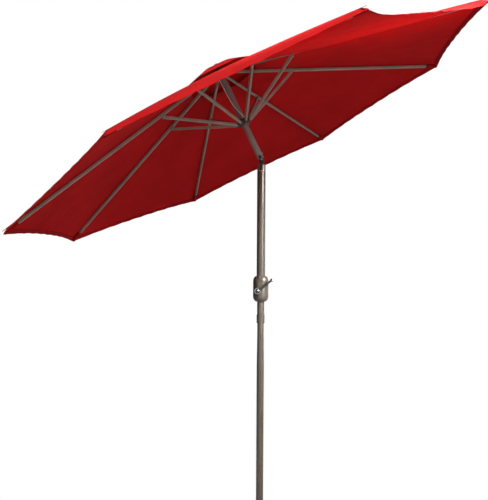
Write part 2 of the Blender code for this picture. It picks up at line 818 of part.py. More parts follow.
def build_hub(black, steel):
    hub = turned(
        "rib_hub",
        [
            (HUB_RADIUS - 0.003, HUB_HALF_HEIGHT),
            (HUB_RADIUS, HUB_HALF_HEIGHT - 0.003),
            (HUB_RADIUS, -HUB_HALF_HEIGHT + 0.003),
            (HUB_RADIUS - 0.003, -HUB_HALF_HEIGHT),
            (MAST_RADIUS + GAP, -HUB_HALF_HEIGHT),
            (MAST_RADIUS + GAP, HUB_HALF_HEIGHT),
        ],
        POLE_SIDES,
        HUB,
        black,
    )
    gap_half = RIB_TONGUE_WIDTH / 2 + RUNNING_CLEARANCE
    for index in range(RIB_COUNT):
        place = HUB @ Matrix.Rotation(rib_azimuth(index), 4, "Z")
        join(hub, *ear_pair(f"hub_{index}", gap_half, HUB_RADIUS - 0.006, RIB_PIVOT_RADIUS + 0.006, 0.008, place))
    ring_points = [
        (
            RIB_PIVOT_RADIUS * math.cos(2 * math.pi * step / 48),
            RIB_PIVOT_RADIUS * math.sin(2 * math.pi * step / 48),
            0.0,
        )
        for step in range(48)
    ]
    groove = bpy.data.meshes.new("ring_groove")
    bm = bmesh.new()
    bm.to_mesh(groove)
    bm.free()
    turn = [
        (
            RIB_PIVOT_RADIUS + (RING_WIRE_RADIUS + GAP) * math.cos(angle),
            0.0,
            (RING_WIRE_RADIUS + GAP) * math.sin(angle),
        )
        for angle in (-2 * math.pi * step / 8 for step in range(8))
    ]
    groove.from_pydata(turn, [(step, (step + 1) % 8) for step in range(8)], [])
    groove_cutter = add_cutter("ring_groove", groove, HUB)
    screw = groove_cutter.modifiers.new("Turn", "SCREW")
    screw.steps = screw.render_steps = 48
    screw.use_merge_vertices = True
    screw.merge_threshold = 0.00001
    cut(hub, groove_cutter)
    ring = bpy.data.curves.new("rib_ring_wire", "CURVE")
    ring.dimensions = "3D"
    ring.bevel_depth = RING_WIRE_RADIUS
    ring.bevel_resolution = 1
    spline = ring.splines.new("POLY")
    spline.points.add(len(ring_points) - 1)
    for point, place in zip(spline.points, ring_points):
        point.co = (*place, 1.0)
    spline.use_cyclic_u = True
    add_object("rib_ring_wire", ring, steel, HUB)


def build_runner(black):
    runner = turned(
        "runner",
        [
            (RUNNER_RADIUS - 0.002, RUNNER_HALF_HEIGHT),
            (RUNNER_RADIUS, RUNNER_HALF_HEIGHT - 0.002),
            (RUNNER_RADIUS, -RUNNER_HALF_HEIGHT + 0.002),
            (RUNNER_RADIUS - 0.002, -RUNNER_HALF_HEIGHT),
            (MAST_RADIUS + RUNNING_CLEARANCE, -RUNNER_HALF_HEIGHT),
            (MAST_RADIUS + RUNNING_CLEARANCE, RUNNER_HALF_HEIGHT),
        ],
        POLE_SIDES,
        RUNNER,
        black,
    )
    gap_half = STRUT_WIDTH / 2 + RUNNING_CLEARANCE
    for index in range(RIB_COUNT):
        place = RUNNER @ Matrix.Rotation(rib_azimuth(index), 4, "Z")
        join(
            runner,
            *ear_pair(f"runner_{index}", gap_half, RUNNER_RADIUS - 0.004, STRUT_PIVOT_RADIUS + 0.006, 0.009, place),
        )


def make_rib_mesh(material):
    """A rib along local X from its pivot, hollow from near its root to its open outer end."""
    half_w, half_h = RIB_WIDTH / 2, RIB_HEIGHT / 2
    bar = add_object(
        "rib_draft",
        box_mesh("rib_bar", (RIB_TONGUE_LENGTH, -half_w, -half_h), (RIB_LENGTH, half_w, half_h), 0.003, 0),
        material,
    )
    bore = add_cutter(
        "rib_bore",
        box_mesh(
            "rib_bore",
            (RIB_TONGUE_LENGTH + 0.020, -half_w + RIB_WALL, -half_h + RIB_WALL),
            (RIB_LENGTH + 0.02, half_w - RIB_WALL, half_h - RIB_WALL),
        ),
    )
    tongue_half = RIB_TONGUE_WIDTH / 2
    tongue = add_cutter(
        "rib_tongue",
        box_mesh(
            "rib_tongue", (0.0, -tongue_half, -0.006), (RIB_TONGUE_LENGTH + 0.010, tongue_half, 0.006)
        ),
    )
    nose = turned("rib_nose", rod_profile(0.006, -tongue_half, tongue_half), SMALL_SIDES, ALONG_Y)
    drill = turned("rib_drill", rod_profile(RING_WIRE_RADIUS + 0.0007, -0.02, 0.02), 12, ALONG_Y)
    ear_gap = STRUT_WIDTH / 2 + RUNNING_CLEARANCE
    bracket = []
    for side in (-1, 1):
        low = min(side * ear_gap, side * (ear_gap + 0.0018))
        mesh = box_mesh(
            "bracket_ear",
            (BRACKET_DISTANCE - 0.009, low, -BRACKET_DROP - 0.0055),
            (BRACKET_DISTANCE + 0.009, low + 0.0018, 0.003),
            0.004,
            1,
        )
        bracket.append(add_cutter(f"bracket_ear_{'ab'[side > 0]}", mesh))
    saddle = add_cutter(
        "bracket_saddle",
        box_mesh(
            "bracket_saddle",
            (BRACKET_DISTANCE - 0.009, -ear_gap - 0.0009, -half_h + 0.0022),
            (BRACKET_DISTANCE + 0.009, ear_gap + 0.0009, -half_h + 0.0052),
        ),
    )
    rivet_place = at(BRACKET_DISTANCE, 0, -BRACKET_DROP) @ ALONG_Y
    rivet = turned("rib_rivet", rod_profile(RIVET_RADIUS, -ear_gap - 0.003, ear_gap + 0.003), 12, rivet_place)
    cut(bar, bore)
    join(bar, tongue, nose, *bracket, saddle, rivet)
    cut(bar, drill)
    return bar


def make_strut_mesh(material):
    """A channel along local X from its rivet to its foot, open on the side that faces the canopy."""
    half_w, half_h = STRUT_WIDTH / 2, STRUT_HEIGHT / 2
    length = strut_length()
    bar = add_object(
        "strut_draft",
        box_mesh("strut_bar", (-0.0065, -half_w, -half_h), (length + 0.004, half_w, half_h), 0.005, 1),
        material,
    )
    trough = add_cutter(
        "strut_trough",
        box_mesh(
            "strut_trough",
            (0.018, -half_w + STRUT_WALL, -half_h - 0.01),
            (length - 0.018, half_w - STRUT_WALL, half_h - STRUT_WALL),
        ),
    )
    drill = turned("strut_drill", rod_profile(RIVET_RADIUS + 0.0004, -0.02, 0.02), 12, ALONG_Y)
    cut(bar, trough, drill)
    return bar


def applied_mesh(obj, name):
    """The object's evaluated mesh under a new name. The draft object is removed."""
    bpy.context.view_layer.update()
    graph = bpy.context.evaluated_depsgraph_get()
    mesh = bpy.data.meshes.new_from_object(obj.evaluated_get(graph))
    mesh.name = name
    bpy.data.objects.remove(obj)
    smooth(mesh)
    return mesh


def build_ribs_and_struts(paint):
    rib_mesh = applied_mesh(make_rib_mesh(paint), "rib")
    strut_mesh = applied_mesh(make_strut_mesh(paint), "strut")
    for index in range(RIB_COUNT):
        add_object(f"rib_{index + 1}", rib_mesh, None, rib_frame(index))
        add_object(f"strut_{index + 1}", strut_mesh, None, strut_frame(index))


def cloth_height(radius):
    """Height of the canopy's middle surface above the hub, over a rib."""
    over_rib = (RIB_HEIGHT / 2 + CLOTH_ABOVE_RIB + CLOTH / 2) / math.cos(RIB_SLOPE)
    return over_rib - (radius - RIB_PIVOT_RADIUS) * math.tan(RIB_SLOPE)


def sheet_object(name, points, faces, material, matrix):
    mesh = bpy.data.meshes.new(name)
    mesh.from_pydata(points, [], faces)
    obj = add_object(name, mesh, material, matrix)
    wall = obj.modifiers.new("Cloth", "SOLIDIFY")
    wall.thickness = CLOTH
    wall.offset = 0.0
    wall.use_even_offset = True
    return obj


def build_canopy(cloth):
    """One panel for each rib, from seam line to seam line between ribs, with the rim cut in between corners."""
    half_step = math.pi / RIB_COUNT
    rows = (VENT_RADIUS, 0.45, 0.75, 1.05, RIM_RADIUS)
    for index in range(RIB_COUNT):
        points = []
        for radius in rows:
            height = cloth_height(radius)
            inset = SCALLOP if radius == RIM_RADIUS else 0.0
            for side in (-1, -0.5, 0, 0.5, 1):
                # A flat panel between two ribs: straight chords, so the radius shrinks towards the seam line.
                along = 1.0 if side == 0 else math.cos(half_step) / math.cos(half_step * (1 - abs(side)))
                reach = (radius * along) - inset * (1 - (1 - abs(side)) ** 2)
                drop = inset * (1 - (1 - abs(side)) ** 2) * math.tan(RIB_SLOPE) / math.cos(half_step)
                turn = side * half_step
                x, y = reach * math.cos(turn), reach * math.sin(turn)
                y -= math.copysign(SEAM_GAP / 2, side) if abs(side) == 1 else 0.0
                points.append((x, y, height + drop))
        faces = []
        columns = 5
        for row in range(len(rows) - 1):
            for column in range(columns - 1):
                first = row * columns + column
                faces.append((first, first + columns, first + columns + 1, first + 1))
        place = HUB @ Matrix.Rotation(rib_azimuth(index), 4, "Z")
        sheet_object(f"canopy_panel_{index + 1}", points, faces, cloth, place)


def build_vent_cap(cloth):
    """The top tier: an eight-sided sheet over the opening in the main canopy, its corners over the ribs."""
    rim = cloth_height(CAP_RADIUS) + CAP_RIM_CLEARANCE
    rings = ((CAP_HOLE_RADIUS, CAP_APEX_ABOVE_HUB), (CAP_RADIUS, rim))
    points = []
    for radius, height in rings:
        for index in range(RIB_COUNT):
            turn = rib_azimuth(0) + index * 2 * math.pi / RIB_COUNT
            points.append((radius * math.cos(turn), radius * math.sin(turn), height))
    faces = []
    for index in range(RIB_COUNT):
        after = (index + 1) % RIB_COUNT
        faces.append((index, index + RIB_COUNT, after + RIB_COUNT, after))
    sheet_object("vent_cap", points, faces, cloth, HUB)


def build_mast_top(black, steel, paint):
    top = MAST_ABOVE_HUB
    block_low, block_high = top + GAP, CAP_APEX_ABOVE_HUB - CLOTH - 0.0015
    block = turned(
        "pulley_block",
        [
            (PULLEY_BLOCK_TOP_RADIUS, block_high),
            (MAST_RADIUS, block_high - 0.008),
            (MAST_RADIUS, block_low),
            (MAST_BORE - GAP, block_low),
            (MAST_BORE - GAP, block_low - 0.010),
            (0.0, block_low - 0.010),
            (0.0, block_high),
        ],
        POLE_SIDES,
        HUB,
        black,
    )
    wheel_height = block_low + 0.0105
    slot_half = PULLEY_WIDTH / 2 + RUNNING_CLEARANCE
    slot = add_cutter(
        "pulley_slot",
        box_mesh("pulley_slot", (-0.03, -slot_half, block_low - 0.02), (0.03, slot_half, wheel_height + PULLEY_RADIUS + 0.001)),
        HUB,
    )
    axle_place = HUB @ at(0, 0, wheel_height) @ ALONG_Y
    axle_radius = 0.0018
    axle_bore = turned("axle_bore", rod_profile(axle_radius + GAP, -0.03, 0.03), 12, axle_place)
    cut(block, slot, axle_bore)
    turned("pulley_axle", rod_profile(axle_radius, -0.0150, 0.0150), 12, axle_place, steel)
    half = PULLEY_WIDTH / 2
    turned(
        "pulley",
        [
            (PULLEY_RADIUS, half),
            (PULLEY_RADIUS - 0.0018, 0.0004),
            (PULLEY_RADIUS - 0.0018, -0.0004),
            (PULLEY_RADIUS, -half),
            (axle_radius + GAP, -half),
            (axle_radius + GAP, half),
        ],
        SMALL_SIDES,
        axle_place,
        black,
    )
    seat = CAP_APEX_ABOVE_HUB + CLOTH / 2 + 0.0006
    turned(
        "finial",
        [
            (0.0, seat + FINIAL_HEIGHT),
            (FINIAL_RADIUS * 0.55, seat + FINIAL_HEIGHT * 0.9),
            (FINIAL_RADIUS * 0.90, seat + FINIAL_HEIGHT * 0.55),
            (FINIAL_RADIUS, seat),
            (0.0045, seat),
            (0.0045, block_high + GAP),
            (0.0, block_high + GAP),
        ],
        POLE_SIDES,
        HUB,
        paint,
    )


def build_lift_cord(cord):
    """The lifting cord's outer run: down beside the mast from the hub, then round its front to the runner."""
    clear = MAST_RADIUS + CORD_RADIUS + 0.0006
    run = (
        (-0.030, 200.0),
        (-0.060, 203.0),
        (-0.090, 207.0),
        (-0.120, 212.0),
        (-0.150, 220.0),
        (-0.175, 232.0),
        (-0.200, 248.0),
        (-0.222, 268.0),
        (-0.240, 290.0),
        (-0.256, 310.0),
    )
    points = [
        (clear * math.cos(math.radians(turn)), clear * math.sin(math.radians(turn)), height)
        for height, turn in run
    ]
    wire("lift_cord", points, CORD_RADIUS, cord, HUB, resolution=2)


def main():
    start_scene()
    paint = make_material("bronze_paint", (0.16, 0.13, 0.11), 0.35, 0.5)
    alloy = make_material("cast_alloy", (0.45, 0.43, 0.40), 0.40, 0.9)
    steel = make_material("zinc_steel", (0.50, 0.50, 0.50), 0.35, 1.0)
    chrome = make_material("button_chrome", (0.70, 0.70, 0.70), 0.20, 1.0)
    black = make_material("black_plastic", (0.02, 0.02, 0.02), 0.45)
    plastic = make_material("grey_nylon", (0.10, 0.09, 0.08), 0.50)
    cloth = make_material("red_canopy_cloth", (0.45, 0.01, 0.01), 0.85)
    cord = make_material("white_cord", (0.80, 0.80, 0.76), 0.80)
    build_lower_pole(paint, plastic, steel)
    build_snap_spring(steel)
    boss_face, bush_radius, boss_root = build_housing(paint, steel)
    build_crank(steel, plastic, black, boss_face, bush_radius, boss_root)
    build_upper_pole(paint, alloy, black)
    build_mast(paint, black, steel, chrome)
    build_hub(black, steel)
    build_runner(black)
    build_ribs_and_struts(paint)
    build_canopy(cloth)
    build_vent_cap(cloth)
    build_mast_top(black, steel, paint)
    build_lift_cord(cord)


main()
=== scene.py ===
# %% [markdown]
# # A tilting market umbrella, open and leaning
#
# The measured solid model comes first and everything here is fitted round it. Each piece that shows is
# made again as a smooth surface with its real finish, and rides on the rigid body that it belongs to, so
# the umbrella can still tilt, fold and wind.

import json
import math

import bmesh
import bpy
import numpy as np
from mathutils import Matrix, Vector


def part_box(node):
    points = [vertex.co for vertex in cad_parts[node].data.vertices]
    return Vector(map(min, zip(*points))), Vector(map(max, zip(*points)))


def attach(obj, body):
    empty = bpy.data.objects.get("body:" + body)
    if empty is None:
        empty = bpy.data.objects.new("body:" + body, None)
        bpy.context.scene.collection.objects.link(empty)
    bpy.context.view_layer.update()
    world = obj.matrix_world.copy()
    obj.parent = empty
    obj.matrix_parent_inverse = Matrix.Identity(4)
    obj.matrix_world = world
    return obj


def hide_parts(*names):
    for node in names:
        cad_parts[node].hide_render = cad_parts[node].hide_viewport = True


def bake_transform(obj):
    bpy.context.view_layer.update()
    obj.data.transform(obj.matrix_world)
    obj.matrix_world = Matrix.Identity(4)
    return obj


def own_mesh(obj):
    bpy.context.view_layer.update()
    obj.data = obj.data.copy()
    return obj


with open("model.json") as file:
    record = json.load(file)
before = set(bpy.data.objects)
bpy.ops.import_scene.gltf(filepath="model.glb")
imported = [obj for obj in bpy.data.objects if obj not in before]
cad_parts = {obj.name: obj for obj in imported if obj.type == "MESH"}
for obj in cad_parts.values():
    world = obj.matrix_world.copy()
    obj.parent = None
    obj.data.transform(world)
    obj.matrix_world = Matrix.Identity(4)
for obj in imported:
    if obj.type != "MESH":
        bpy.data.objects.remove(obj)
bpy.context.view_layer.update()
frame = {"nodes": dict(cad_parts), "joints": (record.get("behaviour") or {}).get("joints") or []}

# %% [markdown]
# ## Directions that the whole umbrella shares
#
# A tilted umbrella is awkward to model in floor coordinates. Every rib is the same in its own frame, which
# has one axis out along the rib's direction, one along its hinge and one up the mast. The hinges in the
# model say where those frames are, so they are read from there.

# %% The mast's and the ribs' own axes
RIBS = range(1, 9)
JOINTS = {joint["name"]: joint for joint in frame["joints"]}
FOLD = {k: JOINTS["canopy_fold" if k == 1 else f"rib_fold_{k}"] for k in RIBS}
TILT_PIN = np.array(JOINTS["tilt"]["pos_m"])
MAST_UP = -np.array(JOINTS["runner_slide"]["axis"])
HINGE = {k: np.array(FOLD[k]["pos_m"]) for k in RIBS}
TANGENT = {k: np.array(FOLD[k]["axis"]) for k in RIBS}
OUT = {k: np.cross(TANGENT[k], MAST_UP) for k in RIBS}
HUB = np.mean([HINGE[k] for k in RIBS], axis=0)
RIB_PIVOT = float(np.linalg.norm(HINGE[1] - HUB))
UP = np.array([0.0, 0.0, 1.0])
ACROSS = np.array([1.0, 0.0, 0.0])
BACK = np.array([0.0, 1.0, 0.0])
FRONT = np.array([0.0, -1.0, 0.0])
MAST_SIDE = np.cross(FRONT, MAST_UP) * -1.0
STRUT_PIN = {k: np.array(JOINTS[f"strut_swing_{k}"]["pos_m"]) for k in RIBS}
print(f"hub at {np.round(HUB, 3)}, rib hinges {RIB_PIVOT * 1000:.0f} mm from the mast's axis")

# %% [markdown]
# ## Sizes
#
# These repeat the solid model's sizes in metres. Cloth and cord have sizes of their own.

# %% Sizes in metres
RIB_SLOPE = math.radians(16.3)
RIB_WIDTH, RIB_HEIGHT = 0.0120, 0.0160
RIB_END = (1.300 - RIB_PIVOT) / math.cos(RIB_SLOPE)
BRACKET_AT = 0.361
STRUT_FOOT_RADIUS, RUNNER_DROP = 0.036, 0.284
STRUT_WIDTH, STRUT_HEIGHT = 0.0120, 0.0140
MAST_RADIUS, UPPER_RADIUS, LOWER_RADIUS = 0.0170, 0.0222, 0.0190
TUBE_WALL = 0.0015
CLOTH_LIFT = (RIB_HEIGHT / 2 + 0.0018) / math.cos(RIB_SLOPE)
VENT_RADIUS, RIM_RADIUS, CAP_RADIUS = 0.200, 1.320, 0.275
CAP_TOP, CAP_RAISE = 0.052, 0.018
HALF_GORE = math.pi / 8
SCALLOP = 0.030
print(f"rib {RIB_END:.3f} m, canopy {2 * RIM_RADIUS:.2f} m corner to corner")

# %% [markdown]
# ## Turning arrays into pieces
#
# A surface here is a table of points, rows by columns. The faces between them follow from the row and
# column numbers alone, so numpy works out the whole mesh at once. That is quicker than adding vertices one
# by one, and the same function serves a tube, a dome and a sheet of cloth.


# %% A mesh from a table of points
def grid(points, wrap=False, uv=None):
    """(points, faces, uv) of quads over a rows x columns x 3 table.

    Face (i, j) joins points (i, j), (i + 1, j), (i + 1, j + 1) and (i, j + 1), and wrap joins the last
    column to the first."""
    rows, columns = points.shape[:2]
    index = np.arange(rows * columns).reshape(rows, columns)
    if wrap:
        index = np.hstack([index, index[:, :1]])
    corners = (index[:-1, :-1], index[1:, :-1], index[1:, 1:], index[:-1, 1:])
    faces = np.stack(corners, -1).reshape(-1, 4)
    if uv is None:
        return points.reshape(-1, 3), faces, None
    wide = np.arange(uv.shape[0] * uv.shape[1]).reshape(uv.shape[:2])
    around = (wide[:-1, :-1], wide[1:, :-1], wide[1:, 1:], wide[:-1, 1:])
    return points.reshape(-1, 3), faces, uv.reshape(-1, 2)[np.stack(around, -1).reshape(-1)]


def piece(name, parts, material, body, closed=True, smooth=40.0):
    """One object from several meshes: welded, facing outwards, and smooth below an angle in degrees.

    It rides on a body, unless it is given none."""
    mesh = bpy.data.meshes.new(name)
    starts = np.cumsum([0] + [len(points) for points, _, _ in parts])
    points = np.vstack([points for points, _, _ in parts])
    faces = [row for (_, part, _), start in zip(parts, starts) for row in (part + start).tolist()]
    mesh.from_pydata(points, [], faces)
    if parts[0][2] is not None:
        layer = mesh.uv_layers.new(name="UVMap")
        layer.data.foreach_set("uv", np.vstack([uv for _, _, uv in parts]).astype(np.float32).ravel())
    shape = bmesh.new()
    shape.from_mesh(mesh)
    bmesh.ops.remove_doubles(shape, verts=shape.verts, dist=2e-6)
    bmesh.ops.dissolve_degenerate(shape, edges=shape.edges, dist=1e-7)
    if closed:
        bmesh.ops.recalc_face_normals(shape, faces=shape.faces)
    shape.to_mesh(mesh)
    shape.free()
    mesh.shade_smooth()
    mesh.set_sharp_from_angle(angle=math.radians(smooth))
    mesh.materials.append(material)
    obj = bpy.data.objects.new(name, mesh)
    bpy.context.scene.collection.objects.link(obj)
    if body is not None:
        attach(obj, body)
    return obj


def set_in(points, origin, x, y, z):
    """Points given along three axes, put into the room: origin + px x + py y + pz z."""
    return origin + points[..., :1] * x + points[..., 1:2] * y + points[..., 2:] * z


# %% [markdown]
# ## Turned pieces
#
# Poles, collars, bosses and knobs are all drawn or turned, so each is a profile carried round an axis. Real
# edges are never sharp. Each corner of a profile is replaced by a short curve before it is turned, and that
# thin rounded edge is what catches the light.


# %% Round a profile's corners, then turn it
def eased(profile, radius=0.0008, steps=4):
    """Each corner becomes a quadratic curve between points set back from it along both sides."""
    corners = np.asarray(profile, float)
    before, after = np.roll(corners, 1, 0), np.roll(corners, -1, 0)
    t = np.linspace(0, 1, steps + 1)[None, :, None]

    def back_along(other):
        side = other - corners
        length = np.linalg.norm(side, axis=1, keepdims=True)
        return corners + side / np.maximum(length, 1e-9) * np.minimum(radius, length * 0.45)

    a, b, c = back_along(before)[:, None], corners[:, None], back_along(after)[:, None]
    curve = (1 - t) ** 2 * a + 2 * t * (1 - t) * b + t**2 * c
    return curve.reshape(-1, 2)


def turned(profile, origin, axis, side, sides=64, radius=0.0008):
    """A closed (radius, height) profile, eased and carried round an axis: x = r cos a, y = r sin a, z = h.

    Points on the axis stay there."""
    line = eased(profile, radius)
    line[:, 0] = np.maximum(line[:, 0], 0.0)
    line = np.vstack([line, line[:1]])
    angle = np.linspace(0, 2 * math.pi, sides, endpoint=False)
    ring = np.stack([np.cos(angle), np.sin(angle), np.zeros(sides)], -1)
    table = line[:, None, :1] * ring[None] + line[:, None, 1:] * np.array([0, 0, 1.0])
    return grid(set_in(table, origin, side, np.cross(axis, side), axis), wrap=True)


def tube(outer, inner, low, high):
    """The profile of a plain tube's wall."""
    return [(outer, low), (outer, high), (inner, high), (inner, low)]


# %% [markdown]
# ## Plates and bars
#
# Ears, brackets and the crank's arm are cut or moulded from flat stock. An outline is carried through its
# thickness in four rows, and the first and last are drawn in slightly, which makes the eased edge.


# %% An outline carried through a thickness, and a section along a line
def ended(table):
    """The table with its first and last rows closed by a point in the middle of each."""
    first = np.broadcast_to(table[:1].mean(1, keepdims=True), table[:1].shape)
    last = np.broadcast_to(table[-1:].mean(1, keepdims=True), table[-1:].shape)
    return np.concatenate([first, table, last])


def plate(outline, low, high, ease, origin, x, y, z):
    """An outline in x and y between two heights.

    The first and last rows are drawn in towards the outline's middle by the ease."""
    outline = np.asarray(outline, float)
    middle = outline.mean(0)
    reach = np.linalg.norm(outline - middle, axis=1, keepdims=True)
    drawn = middle + (outline - middle) * (1 - ease / reach)
    rows = [(drawn, low), (outline, low + ease), (outline, high - ease), (drawn, high)]
    table = np.stack([np.column_stack([line, np.full(len(line), height)]) for line, height in rows])
    return grid(set_in(ended(table), origin, x, y, z), wrap=True)


def stadium(x0, x1, r0, r1, steps=10):
    """An outline with a round end of radius r0 about (x0, 0) and another of radius r1 about (x1, 0)."""
    first = np.linspace(math.pi / 2, 3 * math.pi / 2, steps)
    last = np.linspace(-math.pi / 2, math.pi / 2, steps)
    left = np.column_stack([x0 + r0 * np.cos(first), r0 * np.sin(first)])
    return np.vstack([left, np.column_stack([x1 + r1 * np.cos(last), r1 * np.sin(last)])])


def rounded_box(width, height, corner, steps=5):
    """A rectangle about the origin whose corners are quarter circles."""
    turn = np.linspace(0, math.pi / 2, steps)[None] + np.arange(4)[:, None] * math.pi / 2
    signs = np.array([(1, 1), (-1, 1), (-1, -1), (1, -1)])[:, None]
    centre = signs * (np.array([width, height]) / 2 - corner)
    return (centre + corner * np.stack([np.cos(turn), np.sin(turn)], -1)).reshape(-1, 2)


def carried(section, stations):
    """A section in y and z repeated at each station, (x, scale), so that ends can be drawn in."""
    section = np.asarray(section, float)
    rows = [np.column_stack([np.full(len(section), at), section * scale]) for at, scale in stations]
    return np.stack(rows)


def bar(section, stations, origin, x, y, z):
    """A section carried along x and closed at both ends."""
    return grid(set_in(ended(carried(section, stations)), origin, x, y, z), wrap=True)


# %% [markdown]
# ## Colours and nodes
#
# Colours are picked as sRGB hex, as in any paint program, but the renderer adds and multiplies light, so it
# needs linear numbers. One function converts them, and one other adds a node.


# %% Colour and node helpers
def linear(hex_colour):
    """sRGB to linear: a straight part near black, then a power of 2.4."""
    channel = np.array([int(hex_colour[i : i + 2], 16) for i in (1, 3, 5)]) / 255
    value = np.where(channel <= 0.04045, channel / 12.92, ((channel + 0.055) / 1.055) ** 2.4)
    return (*value.tolist(), 1.0)


def add(tree, kind, inputs=None, **settings):
    """One node: its own settings, then each input as a number, a colour or a socket to link."""
    node = tree.nodes.new(kind)
    for name, value in settings.items():
        setattr(node, name, value)
    for name, value in (inputs or {}).items():
        if isinstance(value, bpy.types.NodeSocket):
            tree.links.new(value, node.inputs[name])
        else:
            node.inputs[name].default_value = value
    return node


def finish(name, **inputs):
    """A new material with a Principled shader, and those of its inputs that are the same all over."""
    material = bpy.data.materials.new(name)
    material.use_nodes = True
    tree = material.node_tree
    shader = tree.nodes["Principled BSDF"]
    for key, value in inputs.items():
        shader.inputs[key.replace("_", " ")].default_value = value
    return material, tree, shader


def mottled(tree, shader, dark, light, size_mm, detail=4.0, low=0.35, high=0.65):
    """Colour that drifts between two shades over patches of about size_mm. Returns the coordinates' node."""
    place = add(tree, "ShaderNodeTexCoord")
    noise = add(
        tree,
        "ShaderNodeTexNoise",
        {"Vector": place.outputs["Object"], "Scale": 1000 / size_mm, "Detail": detail},
    )
    ramp = add(tree, "ShaderNodeMapRange", {0: noise.outputs["Fac"], 1: low, 2: high})
    mix = add(
        tree,
        "ShaderNodeMix",
        {"Factor": ramp.outputs[0], 6: linear(dark), 7: linear(light)},
        data_type="RGBA",
    )
    tree.links.new(mix.outputs[2], shader.inputs["Base Color"])
    return place


def grain(tree, shader, place, size_mm, height_mm, strength=0.4):
    """Fine bumps of a real size and height."""
    noise = add(
        tree,
        "ShaderNodeTexNoise",
        {"Vector": place.outputs["Object"], "Scale": 1000 / size_mm, "Detail": 2.0},
    )
    bump = add(
        tree,
        "ShaderNodeBump",
        {"Height": noise.outputs["Fac"], "Distance": height_mm / 1000, "Strength": strength},
    )
    tree.links.new(bump.outputs[0], shader.inputs["Normal"])


def worn_roughness(tree, shader, place, size_mm, low, high):
    """Roughness that drifts, as handling polishes some places and dust dulls others."""
    noise = add(
        tree,
        "ShaderNodeTexNoise",
        {"Vector": place.outputs["Object"], "Scale": 1000 / size_mm, "Detail": 3.0},
    )
    level = add(tree, "ShaderNodeMapRange", {0: noise.outputs["Fac"], 1: 0.3, 2: 0.7, 3: low, 4: high})
    tree.links.new(level.outputs[0], shader.inputs["Roughness"])


# %% [markdown]
# ## Metal and plastic finishes
#
# The pole is steel tube with a bronze powder coat. The powder melts and flows into a skin with a faint
# orange peel, a few hundredths of a millimetre high over two or three millimetres. The coat's metal flake
# makes it mirror a broad blurred highlight down one side. The ribs and the mast look paler than the pole, so
# each has a paler coat of the same kind. Small hardware is zinc plated or chromed steel, and the crank's arm
# has a dark plating. The tilt socket is a cast alloy, and the moulded pieces are nylon with a fine
# spark-eroded texture.


# %% Bronze powder coat
def bronze_coat(name, dark, light, metal, rough):
    """Patches of shade 60 mm across, a polish that drifts over 140 mm, and an orange peel of 2.4 mm."""
    material, tree, shader = finish(name, Metallic=metal, Coat_Weight=0.3, Coat_Roughness=0.18)
    place = mottled(tree, shader, dark, light, 60)
    worn_roughness(tree, shader, place, 140, rough, rough + 0.015)
    grain(tree, shader, place, 2.4, 0.02, 0.10)
    return material


bronze = bronze_coat("bronze_powder_coat", "#585048", "#5e564d", 0.42, 0.25)
frame_bronze = bronze_coat("bronze_powder_coat_ribs", "#8c7f73", "#978a7d", 0.20, 0.40)
mast_bronze = bronze_coat("bronze_powder_coat_mast", "#827a75", "#8a827d", 0.25, 0.30)

# %% Plated metals and bare castings
chrome, tree, shader = finish("chrome_plate", Metallic=1.0)
place = mottled(tree, shader, "#c4c4c6", "#dadadc", 30)
worn_roughness(tree, shader, place, 12, 0.08, 0.16)

dark_plate, tree, shader = finish("dark_plate", Metallic=1.0)
place = mottled(tree, shader, "#5d5d57", "#6e6e68", 30)
worn_roughness(tree, shader, place, 12, 0.16, 0.26)

zinc, tree, shader = finish("zinc_plate", Metallic=1.0)
place = mottled(tree, shader, "#9c9d9c", "#b9bab6", 6)
worn_roughness(tree, shader, place, 5, 0.28, 0.42)

casting, tree, shader = finish("die_cast_alloy", Metallic=0.85)
place = mottled(tree, shader, "#857c70", "#a1968a", 14)
worn_roughness(tree, shader, place, 8, 0.34, 0.48)
grain(tree, shader, place, 0.8, 0.03, 0.3)


# %% Moulded plastics
def moulded(name, dark, light, low=0.42, high=0.56):
    """Nylon from a spark-eroded mould: a satin skin whose texture is 0.7 mm across and 0.03 mm high."""
    material, tree, shader = finish(name, IOR=1.5)
    place = mottled(tree, shader, dark, light, 18)
    worn_roughness(tree, shader, place, 9, low, high)
    grain(tree, shader, place, 0.7, 0.03, 0.3)
    return material


black_nylon = moulded("black_nylon", "#161514", "#201f1d")
brown_nylon = moulded("brown_nylon", "#564b43", "#62564d")
knob_plastic = moulded("knob_plastic", "#121212", "#1c1b1b", 0.16, 0.26)
hard_finishes = (
    bronze,
    frame_bronze,
    mast_bronze,
    chrome,
    dark_plate,
    zinc,
    casting,
    black_nylon,
    brown_nylon,
    knob_plastic,
)
print("metals and plastics:", [material.name for material in hard_finishes])

# %% [markdown]
# ## Canopy cloth
#
# The canopy is woven polyester, dyed red. Light falls on it in three ways: the threads scatter most of it
# back, their fuzz gives a soft sheen at the edges, and some comes through, so a panel with the lamp behind
# it glows. A Principled shader mixed with a Translucent one gives all three. The weave follows the cloth's
# own map, which runs in metres across and along each gore, so that threads turn with the panel. The real
# thread is about 0.4 mm. It is drawn at 1.6 mm, which is as fine as can show.

# %% Woven polyester
THREAD_MM = 1.6
WAVE_PERIOD = 0.314159  # a wave texture whose scale is 1 repeats after this length, 2 pi / 20


def thread_waves(tree, uv):
    """Two crossed sets of threads: the higher of two sine ridges, one across and one along the cloth."""
    ridges = []
    for direction in ("X", "Y"):
        ridge = add(
            tree,
            "ShaderNodeTexWave",
            {"Vector": uv, "Scale": 1000 / THREAD_MM * WAVE_PERIOD, "Distortion": 0.4, "Detail": 1.0},
            bands_direction=direction,
        )
        ridges.append(ridge.outputs["Fac"])
    return add(tree, "ShaderNodeMath", {0: ridges[0], 1: ridges[1]}, operation="MAXIMUM")


